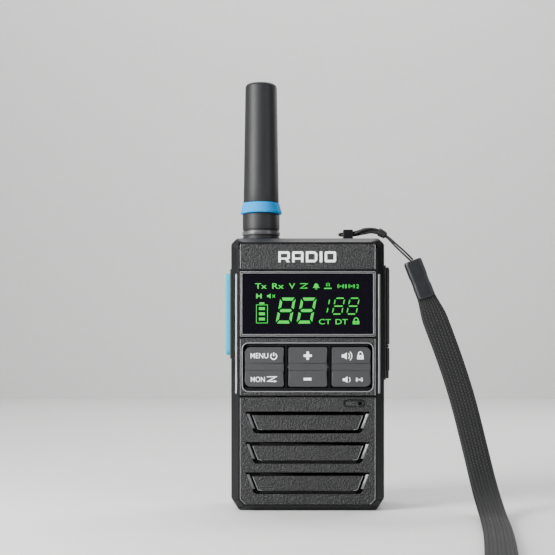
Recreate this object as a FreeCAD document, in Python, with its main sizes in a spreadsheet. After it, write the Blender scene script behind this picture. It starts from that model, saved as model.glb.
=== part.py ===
import FreeCAD, Part
import Sketcher
import math
import os
import re

# Compact licence-free two-way radio with a fixed antenna and a wrist strap, in millimetres.
# Origin: centre of the base. +X to the radio's right, front faces -Y, +Z up.

doc = FreeCAD.newDocument("TwoWayRadio")
sheet = doc.addObject("Spreadsheet::Sheet", "Dimensions")

# Driving sizes: one spreadsheet cell each.
sizes = {
    "body_width": 59.4, "body_height": 105.5, "body_depth": 32.0,
    "side_wall": 1.8, "face_wall": 2.4, "back_wall": 1.6,
    "bevel_side": 3.2, "bevel_end": 2.1, "bevel_depth": 3.2,
    "cut_width": 3.0, "cut_height": 4.6, "shoulder": 2.2, "face_cut": 2.4,
    "front_depth": 17.0, "rear_depth": 6.0,
    "seal_inset": 0.5, "seal_width": 0.7, "seal_depth": 0.6,
    "panel_thick": 1.4, "panel_gap": 0.6, "panel_rim": 0.4, "panel_slip": 0.05,
    "top_panel_height": 9.9, "display_height": 25.2, "keypad_height": 22.2,
    "lens_rim": 0.9, "window_rim": 2.4,
    "key_height": 15.2, "key_web": 1.7, "key_margin": 1.9, "key_slip": 0.3, "key_proud": 0.5,
    "key_band": 2.5, "key_band_depth": 0.5, "key_boss": 2.4,
    "axle_radius": 0.5, "axle_slip": 0.05, "axle_depth": 1.2, "dish_depth": 0.8,
    "ring_height": 8.3, "ring_gap": 3.4, "ring_groove": 1.3, "ring_margin": 5.6, "ring_slant": 3.2,
    "ring_floor": 0.9, "ring_side": 2.1, "ring_inset": 2.2,
    "speaker_radius": 16.5, "cloth_thick": 0.4, "speaker_gasket_depth": 0.8, "basket_depth": 3.6,
    "magnet_radius": 9.0, "magnet_depth": 4.2, "speaker_level": 21.8,
    "mic_inset": 9.6, "mic_radius": 2.0, "mic_boot_wall": 1.0, "mic_hole": 0.6,
    "mat_thick": 0.8, "dome_thick": 0.4, "board_thick": 1.2, "board_inset": 5.4,
    "ptt_length": 32.0, "ptt_breadth": 8.6, "ptt_proud": 2.6, "ptt_border": 1.4, "ptt_slip": 0.25,
    "ptt_top": 13.3, "ptt_front": 4.4, "ptt_seam": 0.1, "ptt_lip": 0.6, "ptt_flange": 0.8, "ptt_reach": 0.7,
    "pad_proud": 0.7, "pad_breadth": 12.0, "pad_front": 3.8, "pad_top": 10.4, "pad_length": 44.6,
    "cover_thick": 1.4, "cover_rise": 0.05, "upper_cover": 29.4, "lower_cover": 9.0, "cover_gap": 1.3,
    "pin_radius": 0.4, "pin_slip": 0.05, "barrel_radius": 0.9, "plug_depth": 1.0,
    "antenna_inset": 10.8, "antenna_depth": 23.0, "stud_radius": 3.0, "stud_slip": 0.1, "boot_radius": 7.5,
    "collar_radius": 7.7, "ring_flare": 0.9, "sleeve_foot": 7.15, "sleeve_tip": 6.4,
    "antenna_top": 64.3, "strip_width": 0.6, "strip_length": 46.0, "strip_edge": 0.8,
    "pack_height": 75.9, "pack_slip": 0.1, "pack_wall": 1.4,
    "clip_width": 18.0, "clip_length": 56.0, "clip_stand": 4.6, "clip_thick": 2.0,
    "clip_pin_radius": 1.0, "clip_barrel": 2.3, "spring_radius": 1.6, "lug_width": 2.0, "lug_slip": 0.15,
    "screw_radius": 1.0, "screw_head": 1.8, "screw_head_depth": 1.4, "screw_inset": 4.0, "post_radius": 2.4,
    "eyelet_x": 15.8, "eyelet_width": 3.9, "eyelet_height": 4.0, "eyelet_hole": 1.35, "eyelet_depth": 3.0,
    "string_thick": 2.4, "clamp_length": 15.4, "clamp_width": 7.2, "clamp_thick": 4.4,
    "strap_width": 10.0, "strap_thick": 2.6,
}

# Places that follow from the driving sizes.
places = {
    "half": "body_width / 2",
    "front_y": "-body_depth / 2",
    "shell_face": "front_y + panel_thick",
    "inner_face": "shell_face + face_wall",
    "bevel_back": "front_y + bevel_depth",
    "split_y": "front_y + front_depth",
    "bay_y": "split_y + rear_depth",
    "back_y": "body_depth / 2",
    "inner_half": "half - side_wall",
    "panel_half": "half - bevel_side - panel_rim",
    "panel_top": "body_height - bevel_end - panel_rim",
    "panel_base": "bevel_end + panel_rim",
    "display_top": "panel_top - top_panel_height - panel_gap",
    "display_base": "display_top - display_height",
    "keypad_top": "display_base - panel_gap",
    "keypad_base": "keypad_top - keypad_height",
    "speaker_top": "keypad_base - panel_gap",
    "key_mid": "(keypad_top + keypad_base) / 2",
    "key_width": "(2 * panel_half - 2 * key_margin - 2 * key_web) / 3",
    "key_pitch": "key_width + key_web",
    "key_top": "key_mid + key_height / 2",
    "key_base": "key_mid - key_height / 2",
    "key_front": "front_y - key_proud",
    "key_back": "shell_face + key_slip",
    "axle_y": "shell_face + axle_depth",
    "mat_back": "inner_face + mat_thick",
    "board_front": "mat_back + dome_thick",
    "board_back": "board_front + board_thick",
    "board_half": "half - board_inset",
    "mic_x": "half - mic_inset",
    "mic_z": "speaker_top - 2.4",
    "ptt_high": "body_height - ptt_top",
    "ptt_low": "ptt_high - ptt_length",
    "ptt_face": "min(front_y + ptt_front + ptt_border; split_y - ptt_seam - ptt_border - ptt_breadth)",
    "ptt_rear": "ptt_face + ptt_breadth",
    "pad_face": "front_y + pad_front",
    "pad_rear": "pad_face + pad_breadth",
    "pad_high": "body_height - pad_top",
    "pad_low": "pad_high - pad_length",
    "pad_out": "half + pad_proud",
    "cover_in": "pad_out + cover_rise",
    "cover_out": "cover_in + cover_thick",
    "hinge_x": "cover_in + barrel_radius + 0.1",
    "hinge_y": "pad_rear - barrel_radius - 0.2",
    "upper_high": "pad_high - 1.4",
    "upper_low": "upper_high - upper_cover",
    "lower_high": "upper_low - cover_gap",
    "lower_low": "lower_high - lower_cover",
    "antenna_x": "-half + antenna_inset",
    "antenna_y": "front_y + antenna_depth",
    "pack_face": "bay_y + pack_slip",
    "pack_top": "pack_height",
    "deck_z": "pack_top + 0.5",
    "clip_y": "back_y + clip_stand",
    "clip_z": "pack_top - 8",
    "screw_x": "half - screw_inset",
    "top_screw_z": "body_height - 5.6",
    "low_screw_z": "8",
    "speaker_back": "inner_face + speaker_gasket_depth + basket_depth",
}


def expand(text):
    """Swap place names for their formulas and size names for spreadsheet cells."""
    def swap(found):
        name = found.group()
        if name in places:
            return "(" + expand(places[name]) + ")"
        return "Dimensions." + name if name in sizes else name
    return re.sub(r"[a-z_]+", swap, str(text))


def number(text):
    return float(sheet.evalExpression(expand(text)))


def bind(item, field, text):
    item.setExpression(field, expand(text))


def fill_sheet():
    for row, (alias, size) in enumerate(sizes.items(), 1):
        sheet.set("A%d" % row, alias)
        sheet.set("B%d" % row, str(size))
        sheet.setAlias("B%d" % row, alias)
    doc.recompute()


# Part primitives, bound to the sheet.

def place(item, spot):
    for axis, text in zip("xyz", spot):
        bind(item, "Placement.Base." + axis, text)
    return item


def block(name, low, high):
    item = doc.addObject("Part::Box", name)
    for field, start, end in zip(("Length", "Width", "Height"), low, high):
        bind(item, field, "(%s) - (%s)" % (end, start))
    return place(item, low)


turns = {
    "x": FreeCAD.Rotation(FreeCAD.Vector(0, 1, 0), 90),
    "y": FreeCAD.Rotation(FreeCAD.Vector(1, 0, 0), -90),
    "z": FreeCAD.Rotation(),
}


def rod(name, axis, start, length, radius):
    item = doc.addObject("Part::Cylinder", name)
    item.Placement.Rotation = turns[axis]
    bind(item, "Radius", radius)
    bind(item, "Height", length)
    return place(item, start)


def taper(name, start, length, low_radius, high_radius):
    item = doc.addObject("Part::Cone", name)
    bind(item, "Radius1", low_radius)
    bind(item, "Radius2", high_radius)
    bind(item, "Height", length)
    return place(item, start)


def fuse(name, items):
    item = doc.addObject("Part::MultiFuse", name)
    item.Shapes = items
    item.Refine = True
    return item


def cut(name, base, tools):
    item = doc.addObject("Part::Cut", name)
    item.Base = base
    item.Tool = tools[0] if len(tools) == 1 else fuse(name + "_tools", tools)
    return item


def group(name, items):
    item = doc.addObject("Part::Compound", name)
    item.Links = items
    return item


# PartDesign bodies.

plane_roles = {"x": "YZ_Plane", "y": "XZ_Plane", "z": "XY_Plane"}


def sketch(body, name, axis, start, loops):
    item = body.newObject("Sketcher::SketchObject", name)
    role = plane_roles[axis]
    plane = [found for found in body.Origin.OriginFeatures if found.Role == role][0]
    item.AttachmentSupport = [(plane, "")]
    item.MapMode = "FlatFace"
    bind(item, "AttachmentOffset.Base.z", "-(%s)" % start if axis == "y" else start)
    for loop in loops:
        if loop[0] == "circle":
            draw_circle(item, loop[1], loop[2])
        else:
            draw_outline(item, loop)
    return item


def pin_point(item, edge, end, across, up):
    for kind, text in (("DistanceX", across), ("DistanceY", up)):
        row = item.addConstraint(Sketcher.Constraint(kind, -1, 1, edge, end, number(text)))
        item.setExpression("Constraints[%d]" % row, expand(text))


def draw_outline(item, points):
    first = item.GeometryCount
    spots = [FreeCAD.Vector(number(across), number(up), 0) for across, up in points]
    count = len(spots)
    for index, spot in enumerate(spots):
        item.addGeometry(Part.LineSegment(spot, spots[(index + 1) % count]), False)
    for index in range(count):
        follower = first + (index + 1) % count
        item.addConstraint(Sketcher.Constraint("Coincident", first + index, 2, follower, 1))
    for index, (across, up) in enumerate(points):
        pin_point(item, first + index, 1, across, up)


def draw_circle(item, centre, radius):
    first = item.GeometryCount
    middle = FreeCAD.Vector(number(centre[0]), number(centre[1]), 0)
    item.addGeometry(Part.Circle(middle, FreeCAD.Vector(0, 0, 1), number(radius)), False)
    pin_point(item, first, 3, *centre)
    row = item.addConstraint(Sketcher.Constraint("Radius", first, number(radius)))
    item.setExpression("Constraints[%d]" % row, expand(radius))


def pad(body, name, axis, start, end, loops):
    item = body.newObject("PartDesign::Pad", name)
    item.Profile = sketch(body, name + "_sketch", axis, start, loops)
    item.Reversed = axis == "y"
    bind(item, "Length", "(%s) - (%s)" % (end, start))
    doc.recompute()
    return item


def pocket(body, name, axis, start, end, loops):
    before = body.Shape.Volume
    item = body.newObject("PartDesign::Pocket", name)
    item.Profile = sketch(body, name + "_sketch", axis, start, loops)
    item.Reversed = axis != "y"
    bind(item, "Length", "(%s) - (%s)" % (end, start))
    doc.recompute()
    if body.Shape.Volume > before - 1e-6:
        raise RuntimeError("%s cuts nothing" % name)
    return item


def ease(body, kind, name, size, chosen):
    """Fillet or chamfer the edges that chosen() picks from the body's present shape."""
    base = body.Tip
    names = ["Edge%d" % row for row, edge in enumerate(base.Shape.Edges, 1) if chosen(edge)]
    if not names:
        raise RuntimeError("%s finds no edge" % name)
    item = body.newObject("PartDesign::" + kind, name)
    item.Base = (base, names)
    bind(item, "Radius" if kind == "Fillet" else "Size", size)
    doc.recompute()
    return item


def new_body(name):
    return doc.addObject("PartDesign::Body", name)


def rectangle(left, right, low, high):
    return [(left, low), (right, low), (right, high), (left, high)]


def along(axis, edge):
    box = edge.BoundBox
    spans = {"x": box.XLength, "y": box.YLength, "z": box.ZLength}
    others = [spans[other] for other in spans if other != axis]
    return len(edge.Vertexes) == 2 and spans[axis] > 0.2 and max(others) < 1e-4


def lying_at(field, level, edge):
    box = edge.BoundBox
    low, high = getattr(box, field + "Min"), getattr(box, field + "Max")
    return abs(low - level) < 1e-4 and abs(high - level) < 1e-4


def key_x(column):
    return "%d * key_pitch" % column


def cover_spans():
    return {"upper": ("upper_low", "upper_high"), "lower": ("lower_low", "lower_high")}


def body_outline(side, end, low_width, low_height, shoulder):
    """The radio's eight-sided outline, pulled in by side and end."""
    wide = "half - (%s)" % side
    low, high = end, "body_height - (%s)" % end
    return [
        ("-(%s) + (%s)" % (wide, low_width), low), ("%s - (%s)" % (wide, low_width), low),
        (wide, "%s + (%s)" % (low, low_height)), (wide, "%s - (%s)" % (high, shoulder)),
        ("%s - (%s)" % (wide, shoulder), high), ("-(%s) + (%s)" % (wide, shoulder), high),
        ("-(%s)" % wide, "%s - (%s)" % (high, shoulder)), ("-(%s)" % wide, "%s + (%s)" % (low, low_height)),
    ]


def screw_places():
    return [(side, level) for side in ("-(screw_x)", "screw_x") for level in ("low_screw_z", "top_screw_z")]


# Casing.

def front_shell():
    body = new_body("front_shell")
    outer = body_outline("0", "0", "cut_width", "cut_height", "shoulder")
    face = body_outline("bevel_side", "bevel_end", "face_cut", "face_cut", "shoulder")
    pad(body, "front_walls", "y", "bevel_back", "split_y", [outer])
    bevel = body.newObject("PartDesign::AdditiveLoft", "front_bevel")
    bevel.Profile = sketch(body, "bevel_root", "y", "bevel_back", [outer])
    bevel.Sections = [sketch(body, "bevel_face", "y", "front_y", [face])]
    bevel.Ruled = True
    doc.recompute()
    seat = rectangle("-panel_half - panel_slip", "panel_half + panel_slip",
                     "panel_base - panel_slip", "panel_top + panel_slip")
    low_left, low_right, high_right, high_left = seat
    reach = "face_cut - panel_rim"
    seat = [(low_left[0] + " + " + reach, low_left[1]), (low_right[0] + " - (" + reach + ")", low_right[1]),
            (low_right[0], low_right[1] + " + " + reach), high_right, high_left,
            (low_left[0], low_left[1] + " + " + reach)]
    pocket(body, "panel_seat", "y", "front_y", "shell_face", [seat])
    cavity = rectangle("-inner_half", "inner_half", "side_wall + cut_height", "body_height - side_wall - shoulder")
    pocket(body, "front_cavity", "y", "inner_face", "split_y", [cavity])
    pocket(body, "floor_cavity", "y", "inner_face", "split_y", [rectangle(
        "-inner_half + cut_width", "inner_half - cut_width", "side_wall", "side_wall + cut_height")])
    pocket(body, "roof_cavity", "y", "inner_face", "split_y", [rectangle(
        "-inner_half + shoulder", "inner_half - shoulder",
        "body_height - side_wall - shoulder", "body_height - side_wall")])
    pocket(body, "display_window", "y", "shell_face", "inner_face", [rectangle(
        "-panel_half + window_rim", "panel_half - window_rim",
        "display_base + window_rim", "display_top - window_rim")])
    pocket(body, "key_windows", "y", "shell_face", "inner_face", [rectangle(
        key_x(column) + " - key_width / 2 - key_slip", key_x(column) + " + key_width / 2 + key_slip",
        "key_base - key_slip", "key_top + key_slip") for column in (-1, 0, 1)])
    pocket(body, "cloth_seat", "y", "shell_face", "shell_face + cloth_thick",
           [("circle", ("0", "speaker_level"), "speaker_radius")])
    pocket(body, "speaker_opening", "y", "shell_face + cloth_thick", "inner_face",
           [("circle", ("0", "speaker_level"), "speaker_radius - 1.5")])
    pocket(body, "mic_opening", "y", "shell_face", "inner_face", [("circle", ("mic_x", "mic_z"), "mic_hole")])
    pocket(body, "axle_hole", "x", "-panel_half", "panel_half",
           [("circle", ("axle_y", "key_mid"), "axle_radius")])
    pocket(body, "ptt_window", "x", "-half", "-inner_half", [rectangle(
        "ptt_face - ptt_slip", "ptt_rear + ptt_slip", "ptt_low - ptt_slip", "ptt_high + ptt_slip")])
    pocket(body, "surround_seat", "x", "-half", "-half + ptt_lip + 0.4", [rectangle(
        "ptt_face - ptt_border", "ptt_rear + ptt_border",
        "ptt_low - ptt_border", "ptt_high + ptt_border")])
    pocket(body, "port_windows", "x", "inner_half", "half", [rectangle(
        "pad_face + 1.6", "hinge_y - 1.4", low + " + 1.2", high + " - 1.2")
        for low, high in cover_spans().values()])
    pad(body, "screw_posts", "y", "inner_face - 0.2", "split_y",
        [("circle", (side, level), "post_radius") for side, level in screw_places()])
    pocket(body, "screw_holes", "y", "split_y - 8", "split_y",
           [("circle", (side, level), "screw_radius") for side, level in screw_places()])
    return body


def rear_shell():
    body = new_body("rear_shell")
    outer = body_outline("0", "0", "cut_width", "cut_height", "shoulder")
    pad(body, "rear_walls", "y", "split_y", "bay_y", [outer])
    head = [("-half", "deck_z"), ("half", "deck_z"), ("half", "body_height - shoulder"),
            ("half - shoulder", "body_height"), ("-half + shoulder", "body_height"),
            ("-half", "body_height - shoulder")]
    pad(body, "rear_head", "y", "bay_y", "back_y", [head])
    ease(body, "Chamfer", "rear_bevel", "1.8", lambda edge: lying_at("Y", number("back_y"), edge))
    pocket(body, "rear_cavity", "y", "split_y", "bay_y - back_wall", [rectangle(
        "-inner_half", "inner_half", "side_wall + cut_height", "body_height - side_wall - shoulder")])
    pocket(body, "head_cavity", "y", "bay_y - back_wall", "back_y - side_wall", [rectangle(
        "-inner_half", "inner_half", "deck_z + side_wall", "body_height - side_wall - shoulder")])
    pocket(body, "seal_groove", "y", "split_y", "split_y + seal_depth", seal_loops())
    for side, level in screw_places():
        name = ("left" if side[0] == "-" else "right") + "_" + level.split("_")[0]
        end = "back_y - side_wall" if level == "top_screw_z" else "bay_y - back_wall"
        pad(body, name + "_post", "y", "split_y", end + " + 0.2", [("circle", (side, level), "post_radius")])
        head_y = screw_seat(level)
        finish = "back_y" if level == "top_screw_z" else "bay_y"
        pocket(body, name + "_hole", "y", "split_y", head_y, [("circle", (side, level), "screw_radius")])
        pocket(body, name + "_bore", "y", head_y, finish, [("circle", (side, level), "screw_head + 0.1")])
    pocket(body, "stud_hole", "z", "body_height - side_wall - shoulder", "body_height",
           [("circle", ("antenna_x", "antenna_y"), "stud_radius + stud_slip")])
    pocket(body, "contact_holes", "y", "bay_y - back_wall", "bay_y",
           [("circle", (contact_x(column), "contact_level"), "1.2") for column in (-1, 0, 1)])
    return body


def contact_x(column):
    return "%d * 6" % column


def screw_seat(level):
    return "back_y - 3" if level == "top_screw_z" else "bay_y - 2"


places["contact_level"] = "pack_top - 6"


def seal_loops():
    return [body_outline(inset, inset, "cut_width", "cut_height", "shoulder")
            for inset in ("seal_inset", "seal_inset + seal_width")]


def shell_gasket():
    """Seal laid in a groove in the rear shell's rim."""
    body = new_body("shell_gasket")
    pad(body, "seal_ring", "y", "split_y", "split_y + seal_depth", seal_loops())
    return body


def case_screws():
    screws = []
    for row, (side, level) in enumerate(screw_places()):
        head_y = screw_seat(level)
        length = "(%s) - (split_y - 8)" % head_y
        shank = rod("case_shank_%d" % row, "y", (side, "split_y - 8", level), length, "screw_radius")
        head = rod("case_head_%d" % row, "y", (side, head_y, level), "screw_head_depth", "screw_head")
        slot = block("case_slot_%d" % row,
                     (side + " - 1.5", head_y + " + screw_head_depth - 0.6", level + " - 0.3"),
                     (side + " + 1.5", head_y + " + screw_head_depth + 1", level + " + 0.3"))
        screws.append(cut("case_screw_%d" % row, fuse("case_blank_%d" % row, [shank, head]), [slot]))
    return group("case_screws", screws)


# Fascia panels, seated in the front shell.

def flat_panel(name, low, high, cuts):
    body = new_body(name)
    pad(body, name + "_plate", "y", "front_y", "shell_face", [cuts or rectangle(
        "-panel_half", "panel_half", low, high)])
    return body


def top_panel():
    return flat_panel("top_panel", "display_top + panel_gap", "panel_top", None)


def display_frame():
    body = flat_panel("display_frame", "display_base", "display_top", None)
    pocket(body, "lens_seat", "y", "front_y", "shell_face", [rectangle(
        "-panel_half + lens_rim", "panel_half - lens_rim", "display_base + lens_rim", "display_top - lens_rim")])
    return body


def display_lens():
    body = new_body("display_lens")
    pad(body, "lens_plate", "y", "front_y + 0.1", "shell_face", [rectangle(
        "-panel_half + lens_rim", "panel_half - lens_rim", "display_base + lens_rim", "display_top - lens_rim")])
    return body


def keypad_bezel():
    body = flat_panel("keypad_bezel", "keypad_base", "keypad_top", None)
    pocket(body, "key_dish", "y", "front_y", "front_y + dish_depth", [rectangle(
        "-panel_half + 1", "panel_half - 1", "key_base - 1.8", "key_top + 1.5")])
    corner = lambda edge: (along("y", edge) and abs(edge.Length - number("dish_depth")) < 1e-4)
    ease(body, "Fillet", "dish_corners", "2.3", corner)
    pocket(body, "key_openings", "y", "front_y + dish_depth", "shell_face", [rectangle(
        key_x(column) + " - key_width / 2 - key_slip", key_x(column) + " + key_width / 2 + key_slip",
        "key_base - key_slip", "key_top + key_slip") for column in (-1, 0, 1)])
    return body


def ring_outline(top, grow, side):
    """One of the speaker panel's trapezoids, its sides sloping in towards the base."""
    wide = "panel_half - ring_inset - ring_slant * (%s) / ring_height - (%s)" % (grow, side)
    narrow = "%s - ring_slant * (1 - 2 * (%s) / ring_height)" % (wide, grow)
    base = "%s - ring_height + (%s)" % (top, grow)
    return [("-(%s)" % narrow, base), (narrow, base),
            (wide, "%s - (%s)" % (top, grow)), ("-(%s)" % wide, "%s - (%s)" % (top, grow))]


def lower_corners(level):
    return lambda edge: (along("y", edge) and abs(edge.Length - number("ring_floor")) < 1e-4
                         and abs(edge.BoundBox.ZMin - number(level)) < 1e-4)


def ring_tops():
    room = number("speaker_top - ring_margin - panel_base - ring_gap")
    count = int((room + number("ring_gap")) / number("ring_height + ring_gap"))
    return ["speaker_top - ring_margin - %d * (ring_height + ring_gap)" % row for row in range(count)]


def speaker_panel():
    reach = "face_cut - panel_rim"
    plate = [("-panel_half + " + reach, "panel_base"), ("panel_half - (" + reach + ")", "panel_base"),
             ("panel_half", "panel_base + " + reach), ("panel_half", "speaker_top"),
             ("-panel_half", "speaker_top"), ("-panel_half", "panel_base + " + reach)]
    body = flat_panel("speaker_panel", None, None, plate)
    for row, top in enumerate(ring_tops()):
        pocket(body, "sound_ring_%d" % row, "y", "front_y", "front_y + ring_floor",
               [ring_outline(top, "0", "0"), ring_outline(top, "ring_groove", "ring_side")])
        ease(body, "Fillet", "ring_corners_%d" % row, "1.8", lower_corners(top + " - ring_height"))
        ease(body, "Fillet", "island_corners_%d" % row, "0.7", lower_corners(top + " - ring_height + ring_groove"))
        reach = "panel_half - ring_inset - ring_slant - 2"
        slots = [rectangle("-(%s)" % reach, reach, low, low + " + ring_groove - 0.3")
                 for low in (top + " - ring_groove + 0.15", top + " - ring_height + 0.15")]
        pocket(body, "sound_slots_%d" % row, "y", "front_y + ring_floor", "shell_face", slots)
    pocket(body, "mic_dish", "y", "front_y", "front_y + 0.5", [rectangle(
        "mic_x - 6.2", "mic_x + 1.9", "mic_z - 1.5", "mic_z + 1.5")])
    corner = lambda edge: along("y", edge) and abs(edge.BoundBox.ZMin - number("mic_z")) < 1.6
    ease(body, "Fillet", "mic_dish_ends", "1.4", corner)
    pocket(body, "mic_hole", "y", "front_y + 0.5", "shell_face", [("circle", ("mic_x", "mic_z"), "mic_hole")])
    return body


def side_strips():
    """Bright strips let a little way into the sloping side bevels."""
    strips = []
    for name, side in (("side_strip_left", -1), ("side_strip_right", 1)):
        strip = doc.addObject("Part::Box", name)
        strip.Placement.Rotation = FreeCAD.Rotation(FreeCAD.Vector(0, 0, 1), side * 45)
        bind(strip, "Length", "strip_width * 1.4")
        bind(strip, "Width", "0.5")
        bind(strip, "Height", "strip_length")
        middle = "half - bevel_side + strip_edge"
        shift = "strip_width * 0.7 * cos(45)"
        place(strip, ("%d * (%s) - (%s) + %d * 0.5 * cos(45)" % (side, middle, shift, side),
                      "front_y + strip_edge * bevel_depth / bevel_side - (%s) * %d - 0.5 * cos(45)" % (shift, side),
                      "body_height - 14.1 - strip_length"))
        strips.append(strip)
    return strips


# Keys.

def rocker_key(name, column):
    body = new_body(name)
    middle = key_x(column)
    band, root = "key_band / 2", "key_front + key_band_depth"
    profile = [
        ("key_front", "key_base"), ("key_front", "key_mid - %s - 0.3" % band), (root, "key_mid - %s" % band),
        (root, "key_mid + %s" % band), ("key_front", "key_mid + %s + 0.3" % band), ("key_front", "key_top"),
        ("key_back", "key_top"), ("key_back", "key_mid + key_boss / 2"),
        ("axle_y + 0.9", "key_mid + key_boss / 2"), ("axle_y + 0.9", "key_mid - key_boss / 2"),
        ("key_back", "key_mid - key_boss / 2"), ("key_back", "key_base"),
    ]
    pad(body, name + "_block", "x", middle + " - key_width / 2", middle + " + key_width / 2", [profile])
    def corner(edge, outer):
        ends = (edge.BoundBox.ZMax - number("key_top"), edge.BoundBox.ZMin - number("key_base"))
        beyond = column * (edge.BoundBox.XMin - number(middle)) > 0
        return along("y", edge) and min(abs(end) for end in ends) < 1e-4 and beyond == outer
    ease(body, "Fillet", name + "_corners", "0.9", lambda edge: corner(edge, False))
    if column:
        ease(body, "Fillet", name + "_outer_corners", "2.2", lambda edge: corner(edge, True))
    pocket(body, name + "_bore", "x", middle + " - key_width / 2", middle + " + key_width / 2",
           [("circle", ("axle_y", "key_mid"), "axle_radius + axle_slip")])
    return body


def key_axle():
    return rod("key_axle", "x", ("-panel_half", "axle_y", "key_mid"), "2 * panel_half", "axle_radius")


def key_spots():
    return [(key_x(column), "key_mid %s 5" % sign) for column in (-1, 0, 1) for sign in "+-"]


def key_mat():
    sheet_part = block("mat_sheet", ("-panel_half + 0.6", "inner_face", "key_base - 1.2"),
                       ("panel_half - 0.6", "mat_back", "key_top + 1.2"))
    posts = [rod("mat_post_%d" % row, "y", (across, "key_back + 0.6", level),
                 "inner_face + 0.2 - (key_back + 0.6)", "1.8") for row, (across, level) in enumerate(key_spots())]
    return fuse("key_mat", [sheet_part] + posts)


def key_domes():
    return group("key_domes", [taper_dome(row, across, level)
                               for row, (across, level) in enumerate(key_spots())])


def taper_dome(row, across, level):
    dome = rod("dome_%d" % row, "y", (across, "mat_back", level), "dome_thick", "2.4")
    return dome


# Electronics.

def main_board():
    board = block("board_blank", ("-board_half", "board_front", "keypad_base + 0.8"),
                  ("board_half", "board_back", "body_height - 10.4"))
    return board


def plain_parts():
    """Solid blocks that sit on the main board or behind the windows."""
    shield_outer = block("shield_outer", ("-14", "board_back", "display_base - 8"),
                         ("14", "board_back + 2.6", "display_top - 6"))
    shield_inner = block("shield_inner", ("-13.7", "board_back - 1", "display_base - 7.7"),
                         ("13.7", "board_back + 2.3", "display_top - 6.3"))
    board = main_board()
    board.Label = "main_board"
    jack_x = "inner_half - 6"
    jack = block("jack_body", (jack_x, "board_back", "upper_low + 2"), ("inner_half", "hinge_y - 1.8", "upper_high - 2"))
    jack_low, jack_high = "upper_low + 9", "upper_high - 8"
    bores = [rod("jack_bore_%d" % row, "x", ("inner_half - 5", "(board_back + hinge_y - 1.8) / 2", level),
                 "6", radius) for row, (level, radius) in enumerate(((jack_low, "1.25"), (jack_high, "1.75")))]
    port = block("port_body", (jack_x, "board_back", "lower_low + 1.4"),
                 ("inner_half", "hinge_y - 1.8", "lower_high - 1.4"))
    slot = block("port_slot", ("inner_half - 5", "board_back + 1.3", "lower_low + 2.6"),
                 ("inner_half + 1", "hinge_y - 3.1", "lower_high - 2.6"))
    switch = block("ptt_switch", ("-inner_half + 2.4", "board_back", "(ptt_low + ptt_high) / 2 - 4"),
                   ("-inner_half + 6", "board_back + 5", "(ptt_low + ptt_high) / 2 + 4"))
    display = block("display_module", ("-panel_half + window_rim", "inner_face", "display_base + window_rim"),
                    ("panel_half - window_rim", "board_front", "display_top - window_rim"))
    return [board, cut("shield_can", shield_outer, [shield_inner]), cut("accessory_jack", jack, bores),
            cut("charging_port", port, [slot]), switch, display]


def speaker_parts():
    level = "speaker_level"
    cloth = rod("speaker_cloth", "y", ("0", "shell_face", level), "cloth_thick", "speaker_radius")
    ring = rod("speaker_ring", "y", ("0", "inner_face", level), "speaker_gasket_depth", "speaker_radius")
    hollow = rod("speaker_hollow", "y", ("0", "inner_face - 1", level), "speaker_gasket_depth + 2",
                 "speaker_radius - 1.5")
    basket_y = "inner_face + speaker_gasket_depth"
    cup = rod("basket_cup", "y", ("0", basket_y, level), "basket_depth", "speaker_radius")
    bowl = doc.addObject("Part::Cone", "basket_bowl")
    bowl.Placement.Rotation = turns["y"]
    bind(bowl, "Radius1", "speaker_radius - 1")
    bind(bowl, "Radius2", "magnet_radius - 2")
    bind(bowl, "Height", "basket_depth")
    place(bowl, ("0", basket_y, level))
    cone = doc.addObject("Part::Cone", "cone_outer")
    cone.Placement.Rotation = turns["y"]
    bind(cone, "Radius1", "speaker_radius - 1")
    bind(cone, "Radius2", "magnet_radius - 2")
    bind(cone, "Height", "basket_depth")
    place(cone, ("0", basket_y, level))
    inner = doc.addObject("Part::Cone", "cone_inner")
    inner.Placement.Rotation = turns["y"]
    bind(inner, "Radius1", "speaker_radius - 1")
    bind(inner, "Radius2", "magnet_radius - 2")
    bind(inner, "Height", "basket_depth")
    place(inner, ("0", basket_y + " - 0.4", level))
    magnet = rod("speaker_magnet", "y", ("0", "speaker_back", level), "magnet_depth", "magnet_radius")
    return [cloth, cut("speaker_gasket", ring, [hollow]), cut("speaker_basket", cup, [bowl]),
            cut("speaker_cone", cone, [inner]), magnet]


def microphone_parts():
    start = ("mic_x", "inner_face", "mic_z")
    capsule = rod("microphone", "y", start, "2.2", "mic_radius")
    boot = rod("mic_boot_outer", "y", start, "2.2", "mic_radius + mic_boot_wall")
    bore = rod("mic_boot_bore", "y", ("mic_x", "inner_face - 1", "mic_z"), "4", "mic_radius")
    return [capsule, cut("mic_boot", boot, [bore])]


# Push-to-talk bar.

def ptt_surround():
    body = new_body("ptt_surround")
    pad(body, "surround_plate", "x", "-half - ptt_lip", "-half + ptt_lip + 0.4", [rectangle(
        "ptt_face - ptt_border", "ptt_rear + ptt_border", "ptt_low - ptt_border", "ptt_high + ptt_border")])
    pocket(body, "surround_window", "x", "-half - ptt_lip", "-half + ptt_lip + 0.4", [rectangle(
        "ptt_face - ptt_slip", "ptt_rear + ptt_slip", "ptt_low - ptt_slip", "ptt_high + ptt_slip")])
    return body


def ptt_button():
    body = new_body("ptt_button")
    pad(body, "ptt_bar", "x", "-half - ptt_proud", "-inner_half + 0.1", [rectangle(
        "ptt_face", "ptt_rear", "ptt_low", "ptt_high")])
    ease(body, "Fillet", "ptt_ends", "2.6", lambda edge: along("x", edge))
    face = number("-half - ptt_proud")
    ease(body, "Fillet", "ptt_rounding", "0.9", lambda edge: lying_at("X", face, edge))
    pad(body, "ptt_flange", "x", "-inner_half + 0.1", "-inner_half + 0.1 + ptt_flange", [rectangle(
        "ptt_face - min(ptt_reach; ptt_face - inner_face - panel_slip)", "ptt_rear + ptt_reach",
        "ptt_low - 0.9", "ptt_high + 0.9")])
    return body


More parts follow.
